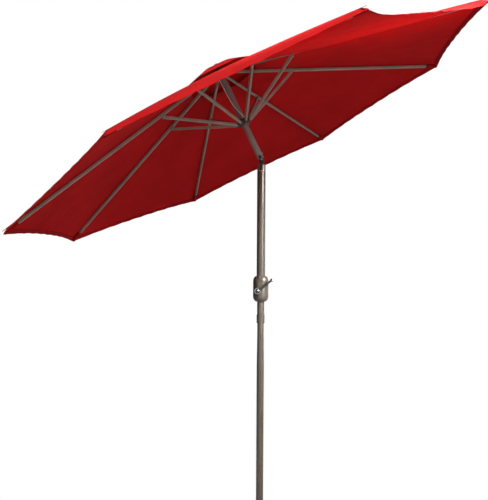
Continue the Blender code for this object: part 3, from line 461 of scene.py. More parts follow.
def canopy_cloth(name, deep, bright, through, share):
    """Two dyed shades, a bump for the threads, a wider one for puckers, and a share of light let through."""
    material, tree, shader = finish(
        name,
        IOR=1.45,
        Sheen_Weight=0.06,
        Sheen_Roughness=0.5,
        Specular_IOR_Level=0.12,
    )
    shader.inputs["Sheen Tint"].default_value = linear("#f04038")
    place = mottled(tree, shader, deep, bright, 260, 5.0, 0.30, 0.70)
    worn_roughness(tree, shader, place, 90, 0.78, 0.92)
    uv = add(tree, "ShaderNodeUVMap", uv_map="UVMap")
    threads = thread_waves(tree, uv.outputs[0])
    slub = add(tree, "ShaderNodeTexNoise", {"Vector": uv.outputs[0], "Scale": 26.0, "Detail": 6.0})
    weave = add(tree, "ShaderNodeBump", {"Height": threads.outputs[0], "Distance": 0.0003, "Strength": 0.35})
    puckers = add(
        tree,
        "ShaderNodeBump",
        {"Height": slub.outputs["Fac"], "Distance": 0.004, "Strength": 0.22, "Normal": weave.outputs[0]},
    )
    tree.links.new(puckers.outputs[0], shader.inputs["Normal"])
    glow = add(tree, "ShaderNodeBsdfTranslucent", {"Color": linear(through)})
    mix = add(tree, "ShaderNodeMixShader", {0: share, 1: shader.outputs[0], 2: glow.outputs[0]})
    tree.links.new(mix.outputs[0], tree.nodes["Material Output"].inputs["Surface"])
    return material


cloth = canopy_cloth("woven_polyester", "#b61519", "#c81b1e", "#e0241f", 0.26)

# %% [markdown]
# Seams and hems are the same cloth folded over and stitched through in two rows. The stitches are dashes on
# the strip's own map: a row is where the distance from the strip's middle is right, and a dash is the first
# part of every stitch length. A real stitch is 3.5 mm. It is drawn at 7 mm so that it can be seen.


# %% Stitched strips
def stitched(name, deep, bright, row_mm, pitch_mm=7.0):
    """Thread shows where |x| is row_mm, within 0.7 mm, and y is in the first 0.68 of a stitch's pitch."""
    material, tree, shader = finish(name, IOR=1.45, Roughness=0.88, Specular_IOR_Level=0.10)
    uv = add(tree, "ShaderNodeUVMap", uv_map="UVMap")
    axes = add(tree, "ShaderNodeSeparateXYZ", {0: uv.outputs[0]})
    off = add(tree, "ShaderNodeMath", {0: axes.outputs["X"]}, operation="ABSOLUTE")
    near = add(tree, "ShaderNodeMath", {0: off.outputs[0], 1: row_mm / 1000, 2: 0.0007}, operation="COMPARE")
    count = add(tree, "ShaderNodeMath", {0: axes.outputs["Y"], 1: 1000 / pitch_mm}, operation="MULTIPLY")
    part = add(tree, "ShaderNodeMath", {0: count.outputs[0]}, operation="FRACT")
    dash = add(tree, "ShaderNodeMath", {0: part.outputs[0], 1: 0.68}, operation="LESS_THAN")
    thread = add(tree, "ShaderNodeMath", {0: near.outputs[0], 1: dash.outputs[0]}, operation="MULTIPLY")
    place = add(tree, "ShaderNodeTexCoord")
    drift = add(tree, "ShaderNodeTexNoise", {"Vector": place.outputs["Object"], "Scale": 14.0, "Detail": 4.0})
    ground = add(
        tree,
        "ShaderNodeMix",
        {"Factor": drift.outputs["Fac"], 6: linear(deep), 7: linear(bright)},
        data_type="RGBA",
    )
    colour = add(
        tree,
        "ShaderNodeMix",
        {"Factor": thread.outputs[0], 6: ground.outputs[2], 7: linear("#7c0c10")},
        data_type="RGBA",
    )
    threads = thread_waves(tree, uv.outputs[0])
    raised = add(
        tree,
        "ShaderNodeMath",
        {0: thread.outputs[0], 1: 2.0, 2: threads.outputs[0]},
        operation="MULTIPLY_ADD",
    )
    bump = add(tree, "ShaderNodeBump", {"Height": raised.outputs[0], "Distance": 0.0003, "Strength": 0.5})
    tree.links.new(colour.outputs[2], shader.inputs["Base Color"])
    tree.links.new(bump.outputs[0], shader.inputs["Normal"])
    return material


seam_cloth = stitched("stitched_seam", "#ac1418", "#c01a1e", 4.0)
# The hem cloth is the canopy's own red, painted deeper as shade for doubled cloth; pockets and vent hems use
# it too.
painted_shade_hem_cloth = stitched("stitched_hem_painted_shade", "#8c0e12", "#a01317", 7.5)

# %% [markdown]
# The lift cord is a white braid. Its strands cross it at a slant, so a slanting wave raises fine ridges, and
# its fuzzy fibre gives a soft sheen.

# %% Braided cord
cord_white, tree, shader = finish("braided_cord", IOR=1.46, Roughness=0.8, Sheen_Weight=0.2)
place = mottled(tree, shader, "#d9d6cc", "#efede6", 8)
plait = add(
    tree,
    "ShaderNodeTexWave",
    {"Vector": place.outputs["Object"], "Scale": 160.0, "Distortion": 1.5},
    bands_direction="DIAGONAL",
)
bump = add(tree, "ShaderNodeBump", {"Height": plait.outputs["Fac"], "Distance": 0.0004, "Strength": 0.6})
tree.links.new(bump.outputs[0], shader.inputs["Normal"])

# %% [markdown]
# ## The pole
#
# The lower pole is 38 mm tube. Its top is drawn down so that it slides into the sleeve below the crank
# housing, and a collar covers the joint. All of it is turned about one vertical axis.

# %% Lower pole, sleeve and collar
ORIGIN = np.zeros(3)


def on_pole(name, profile, node, radius=0.0008):
    """A piece turned about the pole's own axis, in the bronze coat, in place of one node."""
    made = piece(name, [turned(profile, ORIGIN, UP, ACROSS, 96, radius)], bronze, "pole")
    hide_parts(node)


swage = [
    (LOWER_RADIUS, 0.0043),
    (LOWER_RADIUS, 0.700),
    (0.0184, 0.760),
    (0.0176, 0.820),
    (0.0170, 0.875),
    (0.0170, 1.034),
]
inside = [(radius - TUBE_WALL, height) for radius, height in reversed(swage)]
on_pole("lower_pole_tube", swage + inside, "lower_pole", radius=0.0006)
NECK_LOW = 0.955
on_pole("sleeve", tube(0.0187, 0.0173, NECK_LOW, NECK_LOW + 0.115), "neck_tube")
collar_profile = [
    (0.0178, 0.933),
    (0.0196, 0.933),
    (0.0210, 0.9355),
    (0.0210, 0.944),
    (0.0203, 0.9455),
    (0.0203, 0.9475),
    (0.0210, 0.949),
    (0.0210, 0.9765),
    (0.0200, 0.978),
    (0.0190, 0.978),
    (0.0190, 0.9547),
    (0.0173, 0.9547),
    (0.0173, 0.933),
]
on_pole("collar", collar_profile, "pole_collar", radius=0.0006)
print(f"lower pole {swage[-1][1]:.3f} m tall, {2000 * LOWER_RADIUS:.0f} mm across")

# %% [markdown]
# ## The crank housing
#
# The housing is a capsule about twice as wide as the pole, in two shells that meet in a plane. It is a
# turned form with one change: the radius drops a little in a narrow band on each side, which is the seam
# between the shells. A round boss with a bright rim stands out of the front, where the crank's shaft comes
# through.

# %% Housing
HOUSING_LOW, HOUSING_HIGH, HOUSING_RADIUS = 1.046, 1.181, 0.0405
SHOULDER = 0.030
SEAM_DEPTH, SEAM_WIDTH = 0.0009, 0.028  # metres deep, radians wide


def housing_table(sides=180, steps=14):
    """Radius r(h) is two quarter ellipses and a straight side between them.

    At angle a from the shells' seam it is less by depth exp(-(a / width)^2). The first two and the last
    two rows are the lips that turn in round the sleeve and the upper pole."""
    quarter = np.linspace(0, math.pi / 2, steps)
    mouth_low, mouth_high, lip = 0.0199, 0.0234, 0.01
    low_r = mouth_low + (HOUSING_RADIUS - mouth_low) * np.sin(quarter)
    low_h = HOUSING_LOW + SHOULDER * (1 - np.cos(quarter))
    high_r = mouth_high + (HOUSING_RADIUS - mouth_high) * np.cos(quarter)
    high_h = HOUSING_HIGH - SHOULDER * (1 - np.sin(quarter))
    radius = np.concatenate([[0.0190, 0.0190], low_r, high_r, [0.0226, 0.0226]])
    lip_low, lip_high = [HOUSING_LOW + lip, HOUSING_LOW], [HOUSING_HIGH, HOUSING_HIGH - lip]
    height = np.concatenate([lip_low, low_h, high_h, lip_high])
    angle = np.linspace(0, 2 * math.pi, sides, endpoint=False)
    off_seam = np.minimum.reduce([np.abs(angle), np.abs(angle - math.pi), np.abs(angle - 2 * math.pi)])
    groove = SEAM_DEPTH * np.exp(-((off_seam / SEAM_WIDTH) ** 2))
    outside = (radius > mouth_high + 0.0001)[:, None]
    r = radius[:, None] - groove[None] * outside
    return np.stack([r * np.cos(angle), r * np.sin(angle), np.broadcast_to(height[:, None], r.shape)], -1)


CRANK_AT = np.array(JOINTS["crank_turn"]["pos_m"]) * np.array([1, 0, 1])
BOSS_FACE = math.sqrt(HOUSING_RADIUS**2 - 0.015**2) + 0.0070
BOSS_LIP, BOSS_FLOOR = BOSS_FACE - 0.0005, BOSS_FACE - 0.003
SHAFT_HOLE, BOSS_ROOT = 0.0055, 0.020
boss_profile = [
    (SHAFT_HOLE, BOSS_ROOT),
    (0.0190, BOSS_ROOT),
    (0.0182, 0.0395),
    (0.0166, BOSS_FLOOR),
    (0.0160, BOSS_LIP),
    (0.0132, BOSS_LIP),
    (0.0126, BOSS_FLOOR),
    (SHAFT_HOLE, BOSS_FLOOR),
]
shell = piece(
    "crank_housing",
    [grid(housing_table(), wrap=True), turned(boss_profile, CRANK_AT, FRONT, ACROSS, 64)],
    bronze,
    "pole",
)
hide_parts("housing_front", "housing_back")
RIM_LOW, RIM_HIGH = BOSS_FACE - 0.0022, BOSS_FACE + 0.0006
rim_profile = [(0.0128, RIM_LOW), (0.0161, RIM_LOW), (0.0161, RIM_HIGH), (0.0128, RIM_HIGH)]
rim = piece(
    "crank_boss_rim",
    [turned(rim_profile, CRANK_AT, FRONT, ACROSS, 64, 0.0006)],
    chrome,
    "pole",
)
print(f"housing {2000 * HOUSING_RADIUS:.0f} mm wide, {1000 * (HOUSING_HIGH - HOUSING_LOW):.0f} mm tall")

# %% [markdown]
# ## The crank
#
# The arm is a tapered bar with a dark plating, wide where it grips the shaft and narrow at the knob. The
# knob turns on its own pin, and the pin's bright head shows at its end. The bar is an outline carried
# through its thickness, and the rest is turned.

# %% Crank arm and knob
ARM_ANGLE, ARM_LENGTH = math.radians(38.2), 0.094
ARM = math.cos(ARM_ANGLE) * ACROSS + math.sin(ARM_ANGLE) * UP
ARM_SIDE = np.cross(FRONT, ARM)
ARM_LOW = BOSS_FACE + 0.0010
ARM_HIGH = ARM_LOW + 0.0064
arm_outline = stadium(0.0, ARM_LENGTH, 0.0082, 0.0050, 14)
arm_hub = [
    (0.0, ARM_LOW),
    (0.0088, ARM_LOW),
    (0.0084, ARM_LOW + 0.0062),
    (0.0040, ARM_LOW + 0.0084),
    (0.0, ARM_LOW + 0.0086),
]
arm = piece(
    "crank_arm_bar",
    [
        plate(arm_outline, ARM_LOW, ARM_HIGH, 0.0014, CRANK_AT, ARM, ARM_SIDE, FRONT),
        turned(arm_hub, CRANK_AT, FRONT, ACROSS, 48),
    ],
    dark_plate,
    "crank",
)
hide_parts("crank_arm")
KNOB_AT = CRANK_AT + ARM * ARM_LENGTH
KNOB_LOW = ARM_LOW + 0.0065 + 0.0010
knob_profile = [
    (0.0031, KNOB_LOW),
    (0.0066, KNOB_LOW),
    (0.0084, KNOB_LOW + 0.003),
    (0.0080, KNOB_LOW + 0.008),
    (0.0074, KNOB_LOW + 0.012),
    (0.0080, KNOB_LOW + 0.018),
    (0.0085, KNOB_LOW + 0.022),
    (0.0072, KNOB_LOW + 0.0255),
    (0.0040, KNOB_LOW + 0.0260),
    (0.0036, KNOB_LOW + 0.0250),
    (0.0031, KNOB_LOW + 0.0250),
]
knob = piece(
    "crank_knob_grip",
    [turned(knob_profile, KNOB_AT, FRONT, ACROSS, 64, 0.0016)],
    knob_plastic,
    "crank_knob",
)
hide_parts("crank_knob")
pin_profile = [
    (0, KNOB_LOW + 0.0240),
    (0.0034, KNOB_LOW + 0.0240),
    (0.0034, KNOB_LOW + 0.0262),
    (0.0018, KNOB_LOW + 0.0270),
    (0, KNOB_LOW + 0.0271),
]
pin_head = piece(
    "crank_knob_cap",
    [turned(pin_profile, KNOB_AT, FRONT, ACROSS, 32, 0.0003)],
    chrome,
    "crank_knob",
)
print(f"crank arm {1000 * ARM_LENGTH:.0f} mm long at {math.degrees(ARM_ANGLE):.0f} degrees")

# %% [markdown]
# ## Upper pole and tilt joint
#
# The upper pole ends in a cast socket with a slot across it. A black tongue stands in the socket, and the
# mast's black yoke straddles the tongue and swings on one pin. The mast's tube is notched front and back
# to let the tongue through.

# %% Upper pole and socket
SOCKET_LOW = float(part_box("upper_pole")[1].z)
SOCKET_TOP = float(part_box("tilt_socket")[1].z)
UPPER_LOW = 1.151
on_pole("upper_pole_tube", tube(UPPER_RADIUS, UPPER_RADIUS - TUBE_WALL, UPPER_LOW, SOCKET_LOW), "upper_pole")


def slotted_ring(outer, inner, low, high, half_gap, origin, x, y, z, steps=28):
    """Two half tubes with a slot between them.

    A half's angles stop where its ring meets the slot's sides, asin(half gap / radius) short of square."""
    halves = []
    for turn in (0.0, math.pi):
        rows = []
        for radius, height in ((inner, low), (outer, low), (outer, high), (inner, high)):
            stop = math.pi / 2 - math.asin(half_gap / radius)
            angle = turn + np.linspace(-stop, stop, steps)
            ring = (radius * np.cos(angle), radius * np.sin(angle), np.full(steps, height))
            rows.append(np.stack(ring, -1))
        table = np.stack(rows + rows[:1], 1)
        halves.append(grid(set_in(ended(table), origin, x, y, z)))
    return halves


SOCKET_SLOT, MAST_SLOT = 0.008, 0.007
lugs = slotted_ring(
    UPPER_RADIUS - 0.0002,
    UPPER_RADIUS - 0.0046,
    SOCKET_LOW + 0.0060,
    SOCKET_TOP,
    SOCKET_SLOT,
    ORIGIN,
    ACROSS,
    BACK,
    UP,
)
base_ring = tube(UPPER_RADIUS, 0.0050, SOCKET_LOW + 0.0003, SOCKET_LOW + 0.0062)
base_piece = turned(base_ring, ORIGIN, UP, ACROSS, 96, 0.0005)
socket = piece("tilt_socket_casting", lugs + [base_piece], casting, "pole")
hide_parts("tilt_socket")

# %% Mast tube
MAST_TOP = float(np.linalg.norm(HUB - TILT_PIN)) + 0.018
MAST_INSIDE = MAST_RADIUS - TUBE_WALL
NOTCH_LOW, NOTCH_TOP = 0.006, 0.024
ring_part = slotted_ring(
    MAST_RADIUS,
    MAST_INSIDE,
    NOTCH_LOW,
    NOTCH_TOP,
    MAST_SLOT,
    TILT_PIN,
    MAST_SIDE,
    BACK,
    MAST_UP,
)
long_profile = tube(MAST_RADIUS, MAST_INSIDE, NOTCH_TOP, MAST_TOP)
long_part = turned(long_profile, TILT_PIN, MAST_UP, MAST_SIDE, 96, 0.0005)
mast_tube = piece("mast_tube", ring_part + [long_part], mast_bronze, "mast")
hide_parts("mast")
print(f"mast {MAST_TOP:.3f} m above the tilt pin")

# %% [markdown]
# ## Hub and runner
#
# Both are brown mouldings round the mast, with pairs of ears about them: the hub is fixed at its top, and
# the runner slides. A rib's root sits between each pair on the hub, threaded on a ring of wire, and a
# strut's foot sits between each pair on the runner. Each core is turned, and its sixteen ears are one
# outline placed sixteen times.


# %% Hub and runner mouldings
def ears(origin, inner, outer, half_height, half_gap, thickness=0.0022):
    """A pair of plates for each rib, half a gap either side of the rib's own plane."""
    outline = rounded_box(outer - inner, 2 * half_height, 0.0036) + np.array([(outer + inner) / 2, 0])
    made = []
    for k in RIBS:
        for low in (half_gap, -half_gap - thickness):
            high = low + thickness
            made.append(plate(outline, low, high, 0.0005, origin, OUT[k], MAST_UP, -TANGENT[k]))
    return made


RUNNER = HUB - MAST_UP * RUNNER_DROP
hub_core = [
    (0.0174, -0.013),
    (0.0290, -0.013),
    (0.0310, -0.008),
    (0.0310, 0.008),
    (0.0290, 0.013),
    (0.0174, 0.013),
]
hub_turned = turned(hub_core, HUB, MAST_UP, MAST_SIDE, 72, 0.0015)
hub_piece = piece(
    "hub_moulding",
    [hub_turned] + ears(HUB, 0.024, 0.0510, 0.008, 0.0044),
    brown_nylon,
    "mast",
)
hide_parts("rib_hub")
runner_core = [
    (0.0176, -0.020),
    (0.0212, -0.020),
    (0.0222, -0.016),
    (0.0225, -0.006),
    (0.0225, 0.014),
    (0.0205, 0.020),
    (0.0176, 0.020),
]
runner_turned = turned(runner_core, RUNNER, MAST_UP, MAST_SIDE, 72, 0.0015)
runner_piece = piece(
    "runner_moulding",
    [runner_turned] + ears(RUNNER, 0.0185, 0.0420, 0.009, 0.0065),
    brown_nylon,
    "runner",
)
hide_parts("runner")
print(f"runner {1000 * RUNNER_DROP:.0f} mm below the hub")

# %% [markdown]
# ## Ribs and struts
#
# A rib is oblong steel tube, 12 by 16 mm, with a flat root that turns on the ring wire. A strut is a folded
# channel that hangs from a riveted bracket under the rib. Both are sections carried along a line in the
# rib's own frame.


# %% Ribs
def rib_axes(k):
    """(out along the rib, its hinge's direction, square to both and upwards)."""
    along = math.cos(RIB_SLOPE) * OUT[k] - math.sin(RIB_SLOPE) * MAST_UP
    return along, TANGENT[k], math.cos(RIB_SLOPE) * MAST_UP + math.sin(RIB_SLOPE) * OUT[k]


EAR_GAP, EAR_THICK = STRUT_WIDTH / 2 + 0.0005, 0.0018
RIVET_REACH = EAR_GAP + EAR_THICK
tube_section = rounded_box(RIB_WIDTH, RIB_HEIGHT, 0.0034, 6)
tube_stations = [
    (0.021, 0.8),
    (0.023, 1.0),
    (RIB_END - 0.016, 1.0),
    (RIB_END - 0.006, 0.8),
    (RIB_END, 0.45),
]
root_section = rounded_box(0.0076, 0.0118, 0.0020)
root_stations = [(-0.0052, 0.55), (-0.0045, 0.9), (-0.003, 1.0), (0.030, 1.0)]
bracket_section = rounded_box(RIB_WIDTH + 0.0026, RIB_HEIGHT + 0.0020, 0.0040, 6)
bracket_stations = [
    (BRACKET_AT - 0.013, 0.95),
    (BRACKET_AT - 0.012, 1.0),
    (BRACKET_AT + 0.012, 1.0),
    (BRACKET_AT + 0.013, 0.95),
]
ear = rounded_box(0.018, 0.0245, 0.0070, 7) + np.array([BRACKET_AT, -0.00925])
rivet = [
    (0, -RIVET_REACH - 0.0016),
    (0.0022, -RIVET_REACH - 0.0013),
    (0.0034, -RIVET_REACH),
    (0.0020, -RIVET_REACH),
    (0.0020, RIVET_REACH),
    (0.0034, RIVET_REACH),
    (0.0022, RIVET_REACH + 0.0013),
    (0, RIVET_REACH + 0.0016),
]
for k in RIBS:
    x, y, z = rib_axes(k)
    parts = [
        bar(tube_section, tube_stations, HINGE[k], x, y, z),
        bar(root_section, root_stations, HINGE[k], x, y, z),
        bar(bracket_section, bracket_stations, HINGE[k], x, y, z),
    ]
    for low in (EAR_GAP, -EAR_GAP - EAR_THICK):
        parts.append(plate(ear, low, low + EAR_THICK, 0.0004, HINGE[k], x, z, -y))
    rib = piece(f"rib_tube_{k}", parts, frame_bronze, f"rib_{k}")
    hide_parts(f"rib_{k}")
    head = piece(f"rivet_{k}", [turned(rivet, STRUT_PIN[k], y, x, 24, 0.0003)], zinc, f"rib_{k}")
print(f"8 ribs, each a {1000 * (RIB_END - 0.021):.0f} mm tube with a root, a bracket and a rivet")

# %% [markdown]
# A strut's channel is open on the side that faces the canopy. Its section is a U with thin walls, and its
# two ends are pressed flat round the rivets.

# %% Struts
CHANNEL_WALL = 0.0014
half_w, half_h = STRUT_WIDTH / 2, STRUT_HEIGHT / 2


def channel_section(corner=0.0024, steps=5):
    """The outline of a U: down one side, round the bottom and up the other, then back inside it."""
    turn = np.linspace(0, math.pi / 2, steps)
    across = half_w - corner + corner * np.sin(turn)
    down = -half_h + corner - corner * np.cos(turn)
    right = np.column_stack([across, down])
    left = right[::-1] * np.array([-1, 1])
    outer = np.vstack([[(-half_w, half_h)], left, right, [(half_w, half_h)]])
    inner = outer * np.array([(half_w - CHANNEL_WALL) / half_w, 1])
    inner[1:-1, 1] = inner[1:-1, 1] + CHANNEL_WALL
    return np.vstack([outer, inner[::-1]])


u_shape = channel_section()
u_loop = np.vstack([u_shape, u_shape[:1]])
half = len(u_shape) // 2
for k in RIBS:
    start = STRUT_PIN[k]
    reach = RUNNER + OUT[k] * STRUT_FOOT_RADIUS - start
    length = float(np.linalg.norm(reach))
    x = reach / length
    z = np.cross(x, -TANGENT[k])
    z = z if z @ MAST_UP > 0 else -z
    y = np.cross(z, x)
    stations = [(0.004, 1.0), (length - 0.004, 1.0)]
    parts = [grid(set_in(carried(u_loop, stations), start, x, y, z))]
    for row in carried(u_shape, stations):
        end_wall = np.stack([row[:half], row[half:][::-1]])
        parts.append(grid(set_in(end_wall, start, x, y, z)))
    pressed_ends = (
        stadium(-0.0006, 0.016, 0.0058, 0.0050, 8),
        stadium(length - 0.016, length - 0.0008, 0.0050, 0.0048, 8),
    )
    for outline in pressed_ends:
        parts.append(plate(outline, -half_w + 0.0006, half_w - 0.0006, 0.0006, start, x, z, -y))
    strut = piece(f"strut_channel_{k}", parts, frame_bronze, f"strut_{k}")
    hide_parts(f"strut_{k}")
print(f"8 struts, {length:.3f} m between their pins")

# %% [markdown]
# ## The canopy
#
# The cloth is cut in eight gores and pulled tight over the ribs. Between two ribs it runs almost straight
# from side to side, and the ribs bow under the pull, so along a rib it is a shallow arch. Its rim is cut in
# a little between corners. One gore, between the sixth and seventh ribs, is slack and hangs down in its
# middle. Each rib carries the half gore on either side of it, so that the cloth can follow its rib when the
# umbrella folds. Neighbouring pieces share their edge exactly and read as one sheet.

# %% The cloth's shape
ARCH, GORE_FULLNESS, RIPPLE = 0.004, 0.006, 0.0016
DROOP, DROOP_WIDTH = 0.013, 0.085
GORE_SAG = 0.042
SLACK_SIDE = {6: -1, 7: 1}  # which side of each rib is in the slack gore
SLACK_FROM_RIB = 0.007  # the cloth that lies on a rib has no slack
SLACK_RUN = 1.32  # longer than the gore, so that its rim hangs too


def cloth_height(radius):
    """Height over the hub along a rib: the rib's fall, and an arch 4 t (1 - t) that is zero at both ends."""
    t = (radius - VENT_RADIUS) / (RIM_RADIUS - VENT_RADIUS)
    arch = ARCH * 4 * np.clip(t, 0, 1) * (1 - np.clip(t, 0, 1))
    return CLOTH_LIFT - (radius - RIB_PIVOT) * math.tan(RIB_SLOPE) + arch


def gore_point(radius, side, height, inset=0.0):
    """(out, across, up) at a share of the half gore, on the straight line between two ribs.

    Its reach from the mast is r cos(h) / cos(h - |a|), for a half gore of angle h and a turn of a."""
    turn = side * HALF_GORE
    reach = radius * math.cos(HALF_GORE) / np.cos(HALF_GORE * (1 - np.abs(side))) - inset
    return np.stack([reach * np.cos(turn), reach * np.sin(turn), height], -1)


def slack(k, side, radius):
    """How far the slack gore hangs straight down between ribs 6 and 7, and nothing anywhere else.

    For c from 0 at the rib to 1 in the gore's middle, and t from 0 at the vent along the run, it is
    sag (1 - (1 - c)^8) sin(pi t)^0.6: steep beside the ribs and nearly level between them."""
    half_width = radius * math.tan(HALF_GORE)
    from_rib = side * SLACK_SIDE.get(k, 0) * half_width
    ours = np.clip((from_rib - SLACK_FROM_RIB) / (half_width - SLACK_FROM_RIB), 0, 1)
    along = np.clip((radius - VENT_RADIUS) / SLACK_RUN, 0, 1)
    depth = GORE_SAG * (1 - (1 - ours) ** 8) * np.sin(math.pi * along) ** 0.6
    return -depth[..., None] * np.array([OUT[k][2], TANGENT[k][2], MAST_UP[2]])


def cloth_table(k, rows=44, inner=VENT_RADIUS, columns=33):
    """Rows run from the vent to the rim, columns from the middle of one gore to the middle of the next.

    Over the rib's height come a fullness 4 s (1 - s) between ribs, a fine ripple, and a droop at the rim
    that is wider between ribs. The rim is cut in between ribs, less so on the slack gore."""
    side = np.linspace(-1, 1, columns)[None]
    t = np.linspace(0, 1, rows)[:, None]
    radius = inner + (RIM_RADIUS - inner) * t + 0 * side
    share = (radius - VENT_RADIUS) / (RIM_RADIUS - VENT_RADIUS)
    cut = 1 - (1 - np.abs(side)) ** 2.6
    scallop = SCALLOP * (1 - 0.7 * (side * SLACK_SIDE.get(k, 0) > 0))
    inset = scallop * cut * np.clip((share - 0.5) / 0.5, 0, 1) ** 2
    full = GORE_FULLNESS * cut * 4 * share * (1 - share)
    ripple = RIPPLE * np.sin(9.5 * math.pi * np.abs(side)) * cut * share**2
    band = DROOP_WIDTH * (0.35 + 0.65 * cut)
    fall = DROOP * np.clip((radius - RIM_RADIUS + band) / band, 0, 1) ** 2
    height = cloth_height(radius) + inset * math.tan(RIB_SLOPE) + full + ripple - fall
    points = gore_point(radius, side, height, inset)
    uv = np.stack([points[..., 1], points[..., 0]], -1)
    return points + slack(k, side, radius), uv


def in_gore(points, k):
    """Points in a rib's own frame, put into the room."""
    return set_in(points, HUB, OUT[k], TANGENT[k], MAST_UP)


# %% [markdown]
# When the umbrella closes, cloth between two ribs folds into pleats. A rigid piece can't pleat. Each piece is
# given a mesh of its own.


def thicken(obj, thickness=0.0006):
    """A wall whose shading is led by its large faces, so that the thin edge doesn't bend the light."""
    wall = obj.modifiers.new("Cloth thickness", "SOLIDIFY")
    wall.thickness, wall.offset = thickness, 0.0
    light = obj.modifiers.new("Large faces lead", "WEIGHTED_NORMAL")
    light.weight, light.keep_sharp = 100, True


def follow_fold(obj):
    """Gives a piece its own copy of its mesh."""
    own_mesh(obj)


def sheet_piece(name, points, uv, material, k):
    """An open sheet from a table in a rib's own frame, riding on that rib."""
    parts = [grid(in_gore(points, k), uv=uv)]
    return piece(name, parts, material, f"rib_{k}", closed=False, smooth=80)


for k in RIBS:
    points, uv = cloth_table(k)
    panel = sheet_piece(f"canopy_gore_{k}", points, uv, cloth, k)
    thicken(panel)
    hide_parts(f"canopy_panel_{k}")
    follow_fold(panel)

# %% [markdown]
# The rim is turned in and stitched, so its edge is doubled. The hem is the same red cloth, but its deeper red
# is painted shade for the doubled cloth that lets less light through. A hem is a narrow strip of the same
# surface, a little lower. A flat felled seam runs over every rib on the outside, where two gores are joined.

# %% Hems and seams
HEM_WIDTH = 0.024
HEM_DROPS = (0.0016, 0.0022, 0.0022, 0.0009)  # below the cloth, from the hem's inner row to the rim
SEAM_HALF_WIDTH = 0.0065


def strip_uv(points):
    """A strip's own map in metres: across its rows from their middle, and the distance along its columns."""
    rows, columns = points.shape[:2]
    step = np.linalg.norm(np.diff(points, axis=1), axis=2).cumsum(axis=1)
    along = np.concatenate([np.zeros_like(step[:, :1]), step], 1)
    width = np.linalg.norm(points[-1, 0] - points[0, 0])
    across = np.linspace(-0.5, 0.5, rows)[:, None] * width
    return np.stack([np.broadcast_to(across, (rows, columns)), along], -1)


for k in RIBS:
    under, _ = cloth_table(k, rows=len(HEM_DROPS), inner=RIM_RADIUS - HEM_WIDTH)
    under[..., 2] -= np.array(HEM_DROPS)[:, None]
    hem = sheet_piece(f"hem_{k}", under, strip_uv(under), painted_shade_hem_cloth, k)
    thicken(hem)
    follow_fold(hem)

    radius = np.linspace(VENT_RADIUS, RIM_RADIUS - 0.002, 60)[:, None]
    across = np.linspace(-SEAM_HALF_WIDTH, SEAM_HALF_WIDTH, 7)[None]
    raised = 0.0009 * (1 - (np.abs(across) / SEAM_HALF_WIDTH) ** 4)
    height = cloth_height(radius) + 0.0005 + raised + 0 * radius - 0.02 * np.abs(across)
    line = np.stack([radius + 0 * across, across + 0 * radius, height], -1)
    seam_uv = strip_uv(line.swapaxes(0, 1)).swapaxes(0, 1)
    seam = sheet_piece(f"seam_{k}", line, seam_uv, seam_cloth, k)
    follow_fold(seam)
print(f"8 hems {1000 * HEM_WIDTH:.0f} mm wide and 8 seams {2000 * SEAM_HALF_WIDTH:.0f} mm wide")

# %% [markdown]
# Each rib's end sits in a stitched pocket at the canopy's corner, a short flat sleeve. It is a rounded box
# section carried along the rib's end, closed at its outer end and open where the rib goes in, and its top
# lies against the canopy.

# %% Corner pockets
POCKET_LENGTH, POCKET_ROUND = 0.075, 0.08
pocket_end = (RIM_RADIUS - 0.006 - RIB_PIVOT) / math.cos(RIB_SLOPE)
at = np.linspace(pocket_end - POCKET_LENGTH, pocket_end, 9)
share = (at - at[0]) / POCKET_LENGTH
pocket_width = 0.0250 - 0.006 * share**3 + 0.0012 * np.cos(9 * share)
pocket_height = 0.0190 - 0.0090 * share**4
pocket_drop = -0.0004 - 0.0040 * share**4
outline = rounded_box(1, 1, 0.35, 6)
rows = [
    np.column_stack([np.full(len(outline), x), outline[:, 0] * wide, outline[:, 1] * tall + drop])
    for x, wide, tall, drop in zip(at, pocket_width, pocket_height, pocket_drop)
]
pocket_table = ended(np.stack(rows))[1:]
around = np.arange(len(outline) + 1) / len(outline) * POCKET_ROUND
lengthways = np.linspace(-0.02, 0.055, len(pocket_table))
pocket_uv = np.stack(np.meshgrid(lengthways, around, indexing="ij"), -1)
for k in RIBS:
    x, y, z = rib_axes(k)
    parts = [grid(set_in(pocket_table, HINGE[k], x, y, z), wrap=True, uv=pocket_uv)]
    # The pocket is in the hem cloth, whose deeper red is painted shade.
    pocket = piece(f"rib_pocket_{k}", parts, painted_shade_hem_cloth, f"rib_{k}", closed=False, smooth=70)
    thicken(pocket, 0.0008)
print(f"8 pockets {1000 * POCKET_LENGTH:.0f} mm long")

# %% [markdown]
# ## The vent cap
#
# Wind would lift a closed canopy, so the top has an opening with a small second canopy held over it. The
# cap is eight nearly flat gores from the mast's top to short corners above the ribs. It folds with the
# ribs in the same way.


# %% Vent cap
CAP_MIDDLE, CAP_HEM_WIDTH = 0.006, 0.018
CAP_ARCH, CAP_RIPPLE, CAP_SCALLOP = 0.010, 0.0012, 0.010


def cap_table(rows=22, inner=CAP_MIDDLE, lift=0.0, columns=21):
    """Straight from the top to the rim along a rib, with an arch 4 s (1 - s), and cut in between corners."""
    side = np.linspace(-1, 1, columns)[None]
    t = np.linspace(0, 1, rows)[:, None]
    radius = inner + (CAP_RADIUS - inner) * t + 0 * side
    share = (radius - CAP_MIDDLE) / (CAP_RADIUS - CAP_MIDDLE)
    rim = CLOTH_LIFT - (CAP_RADIUS - RIB_PIVOT) * math.tan(RIB_SLOPE) + CAP_RAISE
    cut = 1 - (1 - np.abs(side)) ** 2
    arch = CAP_ARCH * 4 * share * (1 - share)
    ripple = CAP_RIPPLE * np.sin(7 * math.pi * np.abs(side)) * share * cut
    height = CAP_TOP + (rim - CAP_TOP) * share + arch + ripple
    inset = CAP_SCALLOP * cut * share**3
    points = gore_point(radius, side, height + lift + inset * 0.4, inset)
    return points, np.stack([points[..., 1], points[..., 0]], -1)


